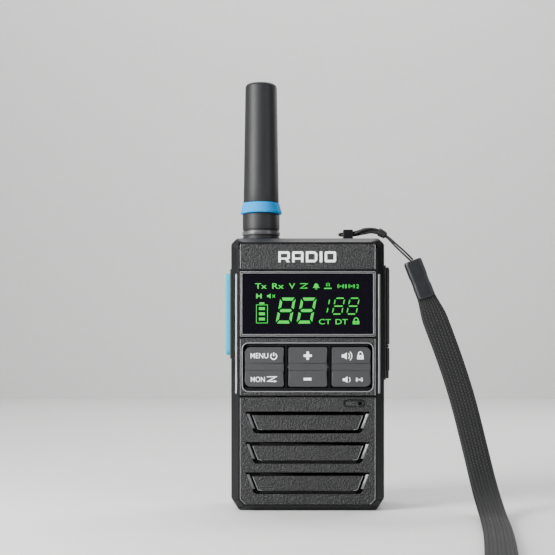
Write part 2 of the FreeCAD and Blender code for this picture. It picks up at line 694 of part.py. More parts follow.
# Port covers on the right side.

def side_pad():
    body = new_body("side_pad")
    pad(body, "pad_plate", "x", "half", "pad_out", [rectangle("pad_face", "pad_rear", "pad_low", "pad_high")])
    pocket(body, "pad_windows", "x", "half", "pad_out", [rectangle(
        "pad_face + 1.6", "hinge_y - 1.4", low + " + 1.2", high + " - 1.2")
        for low, high in cover_spans().values()])
    lugs = [("pad_low + 0.4", "lower_low - 0.15"), ("lower_high + 0.15", "upper_low - 0.15"),
            ("upper_high + 0.15", "pad_high")]
    pad(body, "pad_lugs", "x", "pad_out", "hinge_x + 0.8", [rectangle(
        "hinge_y - 0.8", "hinge_y + 0.8", low, high) for low, high in lugs])
    pocket(body, "lug_bore", "z", "pad_low + 0.4", "pad_high",
           [("circle", ("hinge_x", "hinge_y"), "pin_radius")])
    return body


def port_hinge_pin():
    return rod("port_hinge_pin", "z", ("hinge_x", "hinge_y", "pad_low + 0.6"),
               "pad_high - pad_low - 0.8", "pin_radius")


def port_cover(name, low, high):
    plate = block(name + "_plate", ("cover_in", "pad_face + 0.6", low), ("cover_out", "hinge_y", high))
    barrel = rod(name + "_barrel", "z", ("hinge_x", "hinge_y", low), "(%s) - (%s)" % (high, low), "barrel_radius")
    plug = block(name + "_plug", ("cover_in - plug_depth", "pad_face + 2.3", low + " + 1.8"),
                 ("cover_in", "hinge_y - 2", high + " - 1.8"))
    bore = rod(name + "_bore", "z", ("hinge_x", "hinge_y", low + " - 1"),
               "(%s) - (%s) + 2" % (high, low), "pin_radius + pin_slip")
    return cut(name, fuse(name + "_blank", [plate, barrel, plug]), [bore])


# Antenna.

def antenna_parts():
    spot = ("antenna_x", "antenna_y")
    top = "body_height"
    boot = cut("antenna_boot", rod("boot_outer", "z", spot + (top,), "11.7", "boot_radius"),
               [rod("boot_bore", "z", spot + (top + " - 1",), "14.4", "stud_radius + stud_slip")])
    collar = cut("antenna_collar", rod("collar_outer", "z", spot + (top + " + 2.9",), "1.6", "collar_radius"),
                 [rod("collar_bore", "z", spot + (top + " + 2",), "3.4", "boot_radius")])
    flare = cut("antenna_ring",
                taper("flare_outer", spot + (top + " + 11.7",), "4.4", "boot_radius + ring_flare", "boot_radius"),
                [rod("flare_bore", "z", spot + (top + " + 11",), "8", "stud_radius + stud_slip")])
    foot = "%s + 16.1" % top
    length = "antenna_top - 16.1"
    sleeve = cut("sleeve_blank", taper("sleeve_outer", spot + (foot,), length, "sleeve_foot", "sleeve_tip"),
                 [rod("sleeve_bore", "z", spot + (foot + " - 1",), length + " - 5", "stud_radius + stud_slip")])
    sleeve_round = doc.addObject("Part::Fillet", "antenna_sleeve")
    sleeve_round.Base = sleeve
    doc.recompute()
    tip = number("%s + antenna_top" % top)
    rims = [row for row, edge in enumerate(sleeve.Shape.Edges, 1) if lying_at("Z", tip, edge)]
    sleeve_round.Edges = [(row, 1.6, 1.6) for row in rims]
    core = rod("antenna_core", "z", spot + (top + " - side_wall - 3",), "side_wall + antenna_top - 4", "stud_radius")
    nut = cut("antenna_nut", rod("nut_outer", "z", spot + (top + " - side_wall - shoulder - 2.4",), "2.4", "4"),
              [rod("nut_bore", "z", spot + (top + " - side_wall - shoulder - 3",), "4", "stud_radius")])
    return [boot, collar, flare, sleeve_round, core, nut]


# Battery pack and belt clip.

def pack_outline(grow, low):
    wide = "half - (%s)" % grow
    return [("-(%s) + cut_width" % wide, low), ("%s - cut_width" % wide, low),
            (wide, "%s + cut_height" % low), (wide, "pack_top - (%s)" % grow),
            ("-(%s)" % wide, "pack_top - (%s)" % grow), ("-(%s)" % wide, "%s + cut_height" % low)]


def battery_case():
    body = new_body("battery_case")
    pad(body, "pack_block", "y", "pack_face", "back_y", [pack_outline("0", "0")])
    ease(body, "Chamfer", "pack_bevel", "1.8", lambda edge: lying_at("Y", number("back_y"), edge))
    pocket(body, "pack_hollow", "y", "pack_face + pack_wall", "back_y - pack_wall", [rectangle(
        "-half + 3", "half - 3", "6", "pack_top - 3")])
    pocket(body, "pad_seats", "y", "pack_face", "pack_face + 0.5", [rectangle(
        contact_x(column) + " - 2", contact_x(column) + " + 2", "contact_level - 2.5", "contact_level + 2.5")
        for column in (-1, 0, 1)])
    pocket(body, "clip_screw_holes", "y", "back_y - pack_wall", "back_y",
           [("circle", (side, "clip_z - 1"), "screw_radius") for side in ("-5", "5")])
    return body


def pack_parts():
    cell = block("battery_cell", ("-half + 3.4", "pack_face + pack_wall", "6.4"),
                 ("half - 3.4", "back_y - pack_wall - 0.8", "pack_top - 3.4"))
    pads = [block("pad_%d" % row, (contact_x(column) + " - 2", "pack_face", "contact_level - 2.5"),
                  (contact_x(column) + " + 2", "pack_face + 0.5", "contact_level + 2.5"))
            for row, column in enumerate((-1, 0, 1))]
    pins = [rod("pin_%d" % row, "y", (contact_x(column), "bay_y - back_wall - 1", "contact_level"),
                "back_wall + 1", "1.2") for row, column in enumerate((-1, 0, 1))]
    return [cell, group("battery_contacts", pads), group("contact_pins", pins)]


def clip_bracket():
    inner = "clip_width / 2 + lug_slip"
    base = block("bracket_base", ("-(%s) - lug_width" % inner, "back_y", "clip_z - 6"),
                 ("%s + lug_width" % inner, "back_y + 1.4", "clip_z + 5"))
    lugs = [block("bracket_lug_%d" % row, (low, "back_y + 0.4", "clip_z - 2.6"),
                  (high, "clip_y + 2.4", "clip_z + 2.6"))
            for row, (low, high) in enumerate((("-(%s) - lug_width" % inner, "-(%s)" % inner),
                                               (inner, "%s + lug_width" % inner)))]
    bore = rod("bracket_bore", "x", ("-40", "clip_y", "clip_z"), "80", "clip_pin_radius")
    holes = [rod("bracket_hole_%d" % row, "y", (side, "back_y - 1", "clip_z - 1"), "4", "screw_radius")
             for row, side in enumerate(("-5", "5"))]
    return cut("clip_bracket", fuse("bracket_blank", [base] + lugs), [bore] + holes)


def belt_clip():
    body = new_body("belt_clip")
    inner, outer = "clip_y + 0.4", "clip_y + 0.4 + clip_thick"
    foot = "clip_z - clip_length"
    profile = [(inner, "clip_z + 8"), (inner, foot + " + 5"), ("back_y + 1.2", foot + " + 2"),
               ("back_y + 1.2", foot), ("back_y + 2.6", foot), (outer, foot + " + 4"),
               (outer, "clip_z + 8")]
    pad(body, "clip_plate", "x", "-clip_width / 2", "clip_width / 2", [profile])
    ease(body, "Fillet", "clip_corners", "4", lambda edge: along("y", edge) and edge.BoundBox.ZMin > number("clip_z"))
    pad(body, "clip_barrel", "x", "-clip_width / 2", "clip_width / 2",
        [("circle", ("clip_y", "clip_z"), "clip_barrel")])
    pocket(body, "spring_notch", "x", "-4", "4", [rectangle(
        "clip_y - clip_barrel - 0.5", "clip_y + spring_radius + 0.2",
        "clip_z - clip_barrel - 0.2", "clip_z + clip_barrel + 0.2")])
    pocket(body, "clip_bore", "x", "-clip_width / 2", "clip_width / 2",
           [("circle", ("clip_y", "clip_z"), "clip_pin_radius + 0.05")])
    return body


def clip_parts():
    pin = rod("clip_pin", "x", ("-(clip_width / 2 + lug_slip + lug_width)", "clip_y", "clip_z"),
              "clip_width + 2 * lug_slip + 2 * lug_width", "clip_pin_radius")
    coil = cut("clip_spring", rod("spring_outer", "x", ("-3.4", "clip_y", "clip_z"), "6.8", "spring_radius"),
               [rod("spring_bore", "x", ("-4", "clip_y", "clip_z"), "8", "clip_pin_radius + 0.2")])
    screws = []
    for row, side in enumerate(("-5", "5")):
        shank = rod("clip_shank_%d" % row, "y", (side, "back_y - pack_wall", "clip_z - 1"),
                    "pack_wall + 1.4", "screw_radius")
        head = rod("clip_head_%d" % row, "y", (side, "back_y + 1.4", "clip_z - 1"), "0.7", "screw_head")
        screws.append(fuse("clip_screw_%d" % row, [shank, head]))
    return [pin, coil, group("clip_screws", screws)]


# Lanyard and wrist strap.

string_route = [(12.4, -6.0, 107.6), (18.2, -6.0, 107.6), (22.8, -6.3, 109.2), (27.2, -7.2, 109.0),
                (31.0, -9.0, 106.6), (34.0, -11.2, 103.2), (37.4, -13.0, 99.8), (40.4, -13.5, 96.8)]
strap_route = [(46.0, -13.5, 82.4), (53.2, -13.5, 64.0), (59.6, -14.0, 44.6), (64.4, -16.4, 24.0),
               (66.8, -25.6, 9.0), (67.0, -43.0, 2.4), (64.3, -66.0, 2.4), (60.9, -92.0, 2.4),
               (55.6, -126.0, 2.4)]


def eyelet():
    low = ("eyelet_x - eyelet_width / 2", "-7.5", "body_height")
    high = ("eyelet_x + eyelet_width / 2", "-7.5 + eyelet_depth", "body_height + eyelet_height")
    return cut("lanyard_eyelet", block("eyelet_block", low, high),
               [rod("eyelet_hole", "x", ("eyelet_x - 5", "-7.5 + eyelet_depth / 2", "body_height + 2.1"),
                    "10", "eyelet_hole")])


def route_wire(points, label):
    """Straight runs joined by tangent arcs, as large as the shorter run beside each bend allows."""
    spots = [FreeCAD.Vector(*point) for point in points]
    edges, radii, start = [], [], spots[0]
    for before, corner, after in zip(spots, spots[1:], spots[2:]):
        into, out = corner - before, after - corner
        turn = into.getAngle(out)
        trim = 0.45 * min(into.Length, out.Length)
        radii.append(trim / math.tan(turn / 2))
        into.normalize()
        out.normalize()
        enter, leave = corner - into * trim, corner + out * trim
        inward = (out - into).normalize()
        reach = math.hypot(trim, radii[-1])
        middle = corner + inward * (reach - radii[-1])
        edges += [Part.LineSegment(start, enter).toShape(), Part.Arc(enter, middle, leave).toShape()]
        start = leave
    edges.append(Part.LineSegment(start, spots[-1]).toShape())
    print(label, "radii", [round(radius, 1) for radius in radii])
    return Part.Wire(edges)


def lanyard_string():
    wire = route_wire(string_route, "string")
    radius = number("string_thick") / 2
    start = wire.Edges[0].tangentAt(wire.Edges[0].FirstParameter)
    ring = Part.Wire([Part.Circle(FreeCAD.Vector(*string_route[0]), start, radius).toShape()])
    item = doc.addObject("Part::Feature", "lanyard_string")
    item.Shape = wire.makePipeShell([ring], True, True)
    compare_volume("string", item.Shape.Volume, math.pi * radius ** 2 * wire.Length)
    return item


def wrist_strap():
    """Doubled webbing; its width stays level, so it leans down from the clamp and then lies flat."""
    wire = route_wire(strap_route, "strap")
    wide, thick = number("strap_width") / 2, number("strap_thick") / 2
    first = FreeCAD.Vector(*strap_route[0])
    down = (FreeCAD.Vector(*strap_route[1]) - first).normalize()
    level = FreeCAD.Vector(1, 0, 0)
    face = down.cross(level).normalize()
    corners = [first + level * (wide * across) + face * (thick * up)
               for across, up in ((-1, -1), (1, -1), (1, 1), (-1, 1))]
    section = Part.makePolygon(corners + corners[:1])
    shell = Part.BRepOffsetAPI.MakePipeShell(wire)
    shell.setBiNormalMode(level)
    shell.add(section, False, False)
    shell.build()
    shell.makeSolid()
    item = doc.addObject("Part::Feature", "wrist_strap")
    item.Shape = shell.shape()
    compare_volume("strap", item.Shape.Volume, 4 * wide * thick * wire.Length)
    return item


def compare_volume(label, found, expected):
    print("%s volume %.1f, section times length %.1f" % (label, found, expected))


def strap_clamp():
    """Crimped metal clamp between the string's end and the webbing's start."""
    top, low = FreeCAD.Vector(*string_route[-1]), FreeCAD.Vector(*strap_route[0])
    body = new_body("strap_clamp")
    half_wide, half_thick = "clamp_width / 2", "clamp_thick / 2"
    pad(body, "clamp_block", "z", "0", "clamp_length", [[
        ("-(%s) + 1" % half_wide, "-(%s)" % half_thick), ("%s - 1" % half_wide, "-(%s)" % half_thick),
        (half_wide, "-(%s) + 1.2" % half_thick), (half_wide, "%s - 1.2" % half_thick),
        ("%s - 1" % half_wide, half_thick), ("-(%s) + 1" % half_wide, half_thick),
        ("-(%s)" % half_wide, "%s - 1.2" % half_thick), ("-(%s)" % half_wide, "-(%s) + 1.2" % half_thick)]])
    axis = (top - low).normalize()
    body.Placement = FreeCAD.Placement(low, FreeCAD.Rotation(FreeCAD.Vector(0, 0, 1), axis))
    print("clamp gap %.2f" % ((top - low).Length - number("clamp_length")))
    return body


def build():
    fill_sheet()
    parts = [front_shell(), rear_shell(), shell_gasket(), case_screws(), top_panel(), display_frame(),
             display_lens(), keypad_bezel(), speaker_panel()]
    parts += side_strips()
    parts += [rocker_key("rocker_key_" + name, column)
              for name, column in (("left", -1), ("centre", 0), ("right", 1))]
    parts += [key_axle(), key_mat(), key_domes()]
    parts += plain_parts() + speaker_parts() + microphone_parts()
    parts += [ptt_surround(), ptt_button(), side_pad(), port_hinge_pin()]
    parts += [port_cover("port_cover_" + name, low, high) for name, (low, high) in cover_spans().items()]
    parts += antenna_parts() + [battery_case()] + pack_parts() + [clip_bracket(), belt_clip()] + clip_parts()
    parts += [eyelet(), lanyard_string(), strap_clamp(), wrist_strap()]
    return parts


def check(parts):
    doc.recompute()
    faults = [item.Label for item in doc.Objects if {"Invalid", "Error"} & set(item.State)]
    faults += [part.Label for part in parts if part.Shape.isNull() or not part.Shape.isValid()]
    faults += [part.Label for part in parts if not part.Shape.Solids]
    if faults:
        raise RuntimeError("failed objects: " + ", ".join(faults))


def write(parts):
    os.makedirs("parts", exist_ok=True)
    for part in parts:
        part.Shape.exportStep("parts/%s.step" % part.Label)
    print(len(parts), "parts written")


model = build()
check(model)
write(model)
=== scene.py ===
import math

import bmesh
import bpy
from mathutils import Matrix, Vector


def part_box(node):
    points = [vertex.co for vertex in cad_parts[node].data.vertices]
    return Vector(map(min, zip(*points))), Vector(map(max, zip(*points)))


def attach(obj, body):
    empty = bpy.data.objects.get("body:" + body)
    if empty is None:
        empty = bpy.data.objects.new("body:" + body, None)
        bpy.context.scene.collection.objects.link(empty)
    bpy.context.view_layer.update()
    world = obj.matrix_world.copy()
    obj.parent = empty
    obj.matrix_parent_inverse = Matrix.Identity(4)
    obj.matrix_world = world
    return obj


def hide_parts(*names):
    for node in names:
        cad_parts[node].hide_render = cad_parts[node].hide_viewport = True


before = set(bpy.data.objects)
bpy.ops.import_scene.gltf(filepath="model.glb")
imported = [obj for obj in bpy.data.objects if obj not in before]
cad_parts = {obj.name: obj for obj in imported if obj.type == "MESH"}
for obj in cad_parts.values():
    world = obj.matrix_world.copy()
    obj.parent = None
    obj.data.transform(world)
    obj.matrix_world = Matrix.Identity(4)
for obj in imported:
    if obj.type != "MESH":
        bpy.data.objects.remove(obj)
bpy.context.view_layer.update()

mm = 0.001
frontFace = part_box("top_panel")[0].y  # the plane of the fascia

camera = {"stand": 0.430, "height": 0.060, "seenWidth": 0.2137, "shiftX": -0.0545, "shiftY": 0.1405}


def newObject(name, data):
    thing = bpy.data.objects.new(name, data)
    bpy.context.scene.collection.objects.link(thing)
    return thing


def addCamera():
    data = bpy.data.cameras.new("camera")
    data.sensor_width = 36
    data.lens = 36 * camera["stand"] / camera["seenWidth"]
    data.shift_x = camera["shiftX"]
    data.shift_y = camera["shiftY"]
    data.clip_start = 0.01
    eye = newObject("camera", data)
    eye.location = (0, frontFace - camera["stand"], camera["height"])
    eye.rotation_euler = (math.radians(90), 0, 0)
    bpy.context.scene.camera = eye


def addLight(name, spot, aim, width, height, power):
    data = bpy.data.lights.new(name, "AREA")
    data.shape = "RECTANGLE"
    data.size = width
    data.size_y = height
    data.energy = power
    lamp = newObject(name, data)
    lamp.location = spot
    lamp.rotation_euler = (Vector(aim) - Vector(spot)).to_track_quat("-Z", "Y").to_euler()


aimPoint = (0, 0, 0.08)
# where each light stands and aims, its width, height and power
lights = {
    "keyLight": ((-0.36, -0.24, 0.24), aimPoint, 0.18, 0.34, 5.5),
    "frontLight": ((-0.25, -0.85, 0.50), aimPoint, 0.40, 0.40, 1.6),
    "fillLight": ((0.58, -0.50, 0.28), aimPoint, 0.16, 0.60, 2.0),
    "rimLight": ((0.45, 0.45, 0.45), aimPoint, 0.25, 0.50, 1.5),
    "topLight": ((-0.05, 0.30, 0.80), aimPoint, 0.60, 0.40, 1.8),
    "wallLight": ((0.0, 0.45, 1.10), (0, 1.1, 0.25), 1.40, 0.40, 16.0),
}
studio = {"sky": 0.20, "tint": (0.93, 0.95, 1, 1), "reach": 3.0, "back": 1.1, "high": 3.0}


def addPlane(name, corners):
    mesh = bpy.data.meshes.new(name)
    mesh.from_pydata(corners, [], [(0, 1, 2, 3)])
    plane = newObject(name, mesh)
    return plane


def addStudio():
    world = bpy.data.worlds.new("studio")
    world.use_nodes = True
    world.node_tree.nodes["Background"].inputs["Color"].default_value = studio["tint"]
    world.node_tree.nodes["Background"].inputs["Strength"].default_value = studio["sky"]
    bpy.context.scene.world = world
    for name, look in lights.items():
        addLight(name, *look)
    reach, back, high = studio["reach"], studio["back"], studio["high"]
    floor = addPlane("floor", [(-reach, -reach, 0), (reach, -reach, 0), (reach, back, 0), (-reach, back, 0)])
    wall = addPlane("backdrop", [(-reach, back, 0), (reach, back, 0), (reach, back, high),
                                 (-reach, back, high)])
    return floor, wall


addCamera()
stagePieces = addStudio()
print("camera, light and floor set")


class Wire:
    # an output socket that takes + - * like a number
    def __init__(self, maker, socket):
        self.maker = maker
        self.socket = socket

    def join(self, operation, *others):
        values = dict(enumerate((self,) + others))
        return self.maker.add("ShaderNodeMath", {"operation": operation}, values)

    def __add__(self, other):
        return self.join("ADD", other)

    def __radd__(self, other):
        return self.join("ADD", other)

    def __mul__(self, other):
        return self.join("MULTIPLY", other)

    def __sub__(self, other):
        return self.join("SUBTRACT", other)

    def __rsub__(self, other):
        return self.maker.add("ShaderNodeMath", {"operation": "SUBTRACT"}, {0: other, 1: self})


class Maker:
    # adds nodes to one tree
    def __init__(self, tree):
        self.tree = tree

    def add(self, kind, settings=None, sockets=None, out=0):
        node = self.tree.nodes.new(kind)
        for key, value in (settings or {}).items():
            if key == "stops":
                self.setStops(node.color_ramp, value)
            else:
                setattr(node, key, value)
        for key, value in (sockets or {}).items():
            self.feed(node.inputs[key], value)
        return Wire(self, node.outputs[out]) if len(node.outputs) else node

    def feed(self, socket, value):
        if isinstance(value, Wire):
            self.tree.links.new(value.socket, socket)
        else:
            socket.default_value = value

    def setStops(self, ramp, stops):
        while len(ramp.elements) < len(stops):
            ramp.elements.new(1)
        for element, (position, colour) in zip(ramp.elements, stops):
            element.position = position
            element.color = colour

    def noise(self, where, scale, detail=3, roughness=0.55):
        return self.add("ShaderNodeTexNoise", None, {
            "Vector": where, "Scale": scale, "Detail": detail, "Roughness": roughness})

    def cells(self, where, scale, feature="F1"):
        return self.add("ShaderNodeTexVoronoi", {"feature": feature}, {"Vector": where, "Scale": scale})

    def ramp(self, factor, low, high, first=0.0, last=1.0):
        return self.add("ShaderNodeMapRange", None, {
            "Value": factor, "From Min": low, "From Max": high, "To Min": first, "To Max": last})

    def blend(self, factor, first, second):
        return self.add("ShaderNodeMix", {"data_type": "RGBA"}, {0: factor, 6: first, 7: second}, out=2)

    def bump(self, height, strength, distance, under=None):
        sockets = {"Height": height, "Strength": strength, "Distance": distance}
        if under:
            sockets["Normal"] = under
        return self.add("ShaderNodeBump", None, sockets)


def shade(colour, factor=1.0):
    return tuple(min(1.0, channel * factor) for channel in colour[:3]) + (1,)


def newFinish(name, constants, build):
    # constants go straight on the shader's sockets, build() returns what varies
    material = bpy.data.materials.new(name)
    material.use_nodes = True
    tree = material.node_tree
    shader = tree.nodes["Principled BSDF"]
    maker = Maker(tree)
    where = maker.add("ShaderNodeTexCoord", out=3)
    for key, value in constants.items():
        shader.inputs[key].default_value = value
    for key, value in build(maker, where).items():
        maker.feed(shader.inputs[key], value)
    return material


def mouldedPlastic(name, look):
    # moulded plastic: an etched grain, slow tone changes and rubbed high spots; the raised grain is painted
    # lighter, painted shading of the grain
    def build(maker, where):
        grain = maker.cells(where, look["grain"], "SMOOTH_F1")
        pores = maker.noise(where, look["grain"] * 1.3, 2)
        clouds = maker.noise(where, 60, 4)
        rubbed = maker.ramp(maker.noise(where, 240, 5, 0.7), 0.52, 0.78)
        height = maker.ramp(pores * 0.65 + grain * 0.35, 0.28, 0.62)
        # colour follows random tone, rubbed spots and the grain's height; the height part is painted shading
        # of the grain
        toneWithPaintedLight = clouds * 0.25 + rubbed * 0.15 + height * look.get("speckle", 0.3)
        return {
            "Base Color": maker.blend(toneWithPaintedLight, shade(look["colour"], 0.6), shade(look["colour"], 1.7)),
            "Roughness": look["rough"] + clouds * 0.1 - height * 0.1,
            "Normal": maker.bump(height, look["depth"], look.get("relief", 0.0002)),
        }
    return newFinish(name, {"Specular IOR Level": look.get("gloss", 0.5)}, build)


def speckledPaint(name, look):
    # smooth satin plastic or paint with fine dust and faint scuffs
    def build(maker, where):
        dust = maker.ramp(maker.noise(where, 5200, 2), 0.66, 0.8)
        clouds = maker.noise(where, 90, 4)
        scuffs = maker.ramp(maker.noise(maker.add("ShaderNodeMapping", None, {
            "Vector": where, "Scale": (1, 1, 6)}), 700, 3), 0.6, 0.75)
        return {
            "Base Color": maker.blend(dust * 0.35 + clouds * 0.25, shade(look["colour"], 0.92),
                                      shade(look["colour"], 1.25)),
            "Roughness": look["rough"] + scuffs * 0.1 + clouds * 0.08,
            "Normal": maker.bump(maker.noise(where, 2600, 2), look.get("depth", 0.08), 0.0001),
        }
    return newFinish(name, {"Specular IOR Level": look.get("gloss", 0.5),
                            "Coat Weight": look.get("coat", 0.0), "Coat Roughness": 0.15}, build)


def metalFinish(name, look):
    # drawn or cast metal: streaks along one axis and small pits
    def build(maker, where):
        stretched = maker.add("ShaderNodeMapping", None, {"Vector": where, "Scale": look["streak"]})
        streaks = maker.noise(stretched, 1800, 4)
        stains = maker.noise(where, 220, 4)
        return {
            "Base Color": maker.blend(streaks * 0.6 + stains * 0.4, shade(look["colour"], 0.75),
                                      shade(look["colour"], 1.15)),
            "Roughness": look["rough"] + streaks * 0.18 + stains * 0.08,
            "Normal": maker.bump(streaks, 0.12, 0.00005),
        }
    return newFinish(name, {"Metallic": 1.0}, build)


def wovenFinish(name, look):
    # thread colours follow the piece's own height attribute: raised threads painted light and hollows near
    # black, painted highlight and shade of the weave
    def build(maker, where):
        raised = maker.add("ShaderNodeAttribute", {"attribute_name": "raised"}, out=2)
        fibres = maker.noise(maker.add("ShaderNodeMapping", None, {
            "Vector": where, "Scale": (3, 3, 1)}), 4200, 3)
        toneWithPaintedLight = maker.ramp(raised, 0.35, 1.0) * 0.85 + fibres * 0.15
        return {
            "Base Color": maker.blend(toneWithPaintedLight, shade(look["colour"], 0.06), shade(look["colour"], 1.15)),
            "Roughness": look["rough"] - fibres * 0.12,
            "Normal": maker.bump(fibres, 0.5, 0.0001),
        }
    return newFinish(name, {"Specular IOR Level": 0.3}, build)


def litFinish(name, look):
    # printed or lit marks; the white print's glow is painted light
    def build(maker, where):
        grain = maker.noise(where, 3000, 2)
        tint = maker.blend(grain, shade(look["colour"], 0.9), shade(look["colour"], 1.05))
        return {"Base Color": tint, "Emission Color": tint, "Roughness": look["rough"] + grain * 0.1}
    return newFinish(name, {"Emission Strength": look["glow"]}, build)


def lensFinish(name, look):
    # smoked window: deep gloss with faint wiping marks
    def build(maker, where):
        smears = maker.noise(maker.add("ShaderNodeMapping", None, {
            "Vector": where, "Rotation": (0, 0.6, 0), "Scale": (1, 1, 5)}), 130, 4)
        dust = maker.ramp(maker.noise(where, 4800, 2), 0.7, 0.78)
        return {
            "Base Color": maker.blend(dust * 0.25 + smears * 0.15, shade(look["colour"]),
                                      shade(look["colour"], 3.0)),
            "Roughness": 0.05 + smears * 0.06 + dust * 0.2,
        }
    return newFinish(name, {"Coat Weight": 0.2, "Coat Roughness": 0.03, "Specular IOR Level": 0.35}, build)


finishLooks = {
    "casing": (mouldedPlastic, {"colour": (0.0042, 0.0044, 0.0052), "grain": 3600, "rough": 0.36,
        "gloss": 0.25, "depth": 0.1, "speckle": 0.15}),
    "fascia": (mouldedPlastic, {"colour": (0.0095, 0.0096, 0.0102), "grain": 1500, "rough": 0.4,
        "depth": 0.9, "relief": 0.0004, "speckle": 0.6, "gloss": 0.4}),
    # light grey finish of the edge beads: painted highlight on the edges of the black panels
    "fasciaEdge": (speckledPaint, {"colour": (0.19, 0.193, 0.2), "rough": 0.3}),
    "keyCap": (speckledPaint, {"colour": (0.034, 0.035, 0.037), "rough": 0.42}),
    "accent": (speckledPaint, {"colour": (0.004, 0.40, 0.54), "rough": 0.45, "gloss": 0.12}),
    "ringBlue": (speckledPaint, {"colour": (0.0, 0.27, 0.66), "rough": 0.5, "gloss": 0.08}),
    "surround": (speckledPaint, {"colour": (0.04, 0.041, 0.043), "rough": 0.36}),
    "coverPlastic": (mouldedPlastic, {"colour": (0.009, 0.0092, 0.01), "grain": 1700, "rough": 0.42,
        "depth": 0.4}),
    "rubber": (mouldedPlastic, {"colour": (0.017, 0.0173, 0.0185), "grain": 4200, "rough": 0.5,
        "gloss": 0.3, "depth": 0.08, "speckle": 0.15}),
    "softRubber": (mouldedPlastic, {"colour": (0.008, 0.008, 0.0085), "grain": 3200, "rough": 0.6,
        "depth": 0.2}),
    "collar": (speckledPaint, {"colour": (0.06, 0.061, 0.063), "rough": 0.3}),
    "lens": (lensFinish, {"colour": (0.0016, 0.0008, 0.0030)}),
    # lighter than the panel plastic: painted highlight on the sloping flanks of the sound rings
    "barGloss": (speckledPaint, {"colour": (0.075, 0.076, 0.079), "rough": 0.3, "coat": 0.2}),
    "brightStrip": (metalFinish, {"colour": (0.5, 0.505, 0.52), "rough": 0.34, "streak": (6, 6, 0.4)}),
    "steel": (metalFinish, {"colour": (0.5, 0.5, 0.52), "rough": 0.25, "streak": (1, 4, 1)}),
    "gunmetal": (metalFinish, {"colour": (0.055, 0.056, 0.06), "rough": 0.3, "streak": (5, 5, 0.6)}),
    "brass": (metalFinish, {"colour": (0.75, 0.55, 0.25), "rough": 0.25, "streak": (2, 2, 2)}),
    "board": (speckledPaint, {"colour": (0.01, 0.10, 0.03), "rough": 0.3, "coat": 0.3}),
    "wrap": (speckledPaint, {"colour": (0.03, 0.06, 0.2), "rough": 0.3, "coat": 0.3}),
    "webbing": (wovenFinish, {"colour": (0.024, 0.025, 0.0245), "rough": 0.7}),
    "braid": (wovenFinish, {"colour": (0.014, 0.0145, 0.0155), "rough": 0.6}),
    "cloth": (mouldedPlastic, {"colour": (0.005, 0.005, 0.005), "grain": 2400, "rough": 0.9, "depth": 0.8}),
    # white print given a glow: painted light, the print itself does not shine
    "whitePrint": (litFinish, {"colour": (0.90, 0.91, 0.92), "rough": 0.45, "glow": 0.25}),
    "dimPrint": (litFinish, {"colour": (0.045, 0.046, 0.048), "rough": 0.5, "glow": 0.0}),
    "greenGlow": (litFinish, {"colour": (0.003, 0.42, 0.022), "rough": 0.35, "glow": 0.6}),
    # near black: painted shade for groove floors, holes and recesses
    "hole": (speckledPaint, {"colour": (0.002, 0.002, 0.002), "rough": 0.9, "gloss": 0.1}),
    "paleStage": (speckledPaint, {"colour": (0.72, 0.72, 0.71), "rough": 0.7}),
}
finishes = {name: make(name, look) for name, (make, look) in finishLooks.items()}
for stagePiece in stagePieces:
    stagePiece.data.materials.append(finishes["paleStage"])
print("finishes made:", len(finishes))


def plainMesh(source):
    # the evaluated mesh of an object, its place baked in; the object itself goes
    graph = bpy.context.evaluated_depsgraph_get()
    mesh = bpy.data.meshes.new_from_object(source.evaluated_get(graph))
    mesh.transform(source.matrix_world)
    bpy.data.objects.remove(source)
    return mesh


def plainPiece(source, name):
    mesh = plainMesh(source)
    mesh.name = name
    return newObject(name, mesh)


def workPiece(name, work, finish):
    mesh = bpy.data.meshes.new(name)
    work.to_mesh(mesh)
    work.free()
    mesh.materials.append(finishes[finish])
    return newObject(name, mesh)


def meshPiece(name, points, faces, finish):
    mesh = bpy.data.meshes.new(name)
    mesh.from_pydata([tuple(point) for point in points], [], faces)
    mesh.validate()
    piece = newObject(name, mesh)
    work = bmesh.new()
    work.from_mesh(mesh)
    bmesh.ops.recalc_face_normals(work, faces=work.faces)
    work.to_mesh(mesh)
    work.free()
    mesh.materials.append(finishes[finish])
    return piece


def smooth(piece, degrees=35):
    piece.data.shade_smooth()
    piece.data.set_sharp_from_angle(angle=math.radians(degrees))
    return piece


def place(piece, body, slot, *nodes):
    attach(piece, body)
    if nodes:
        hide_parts(*nodes)
    return piece


# merge in m, flat, least and most in degrees, shortest edge and widest rounded face in mm
softening = {"merge": 2e-6, "flat": 0.6, "least": 22, "most": 120, "shortest": 1.5, "widest": 3}


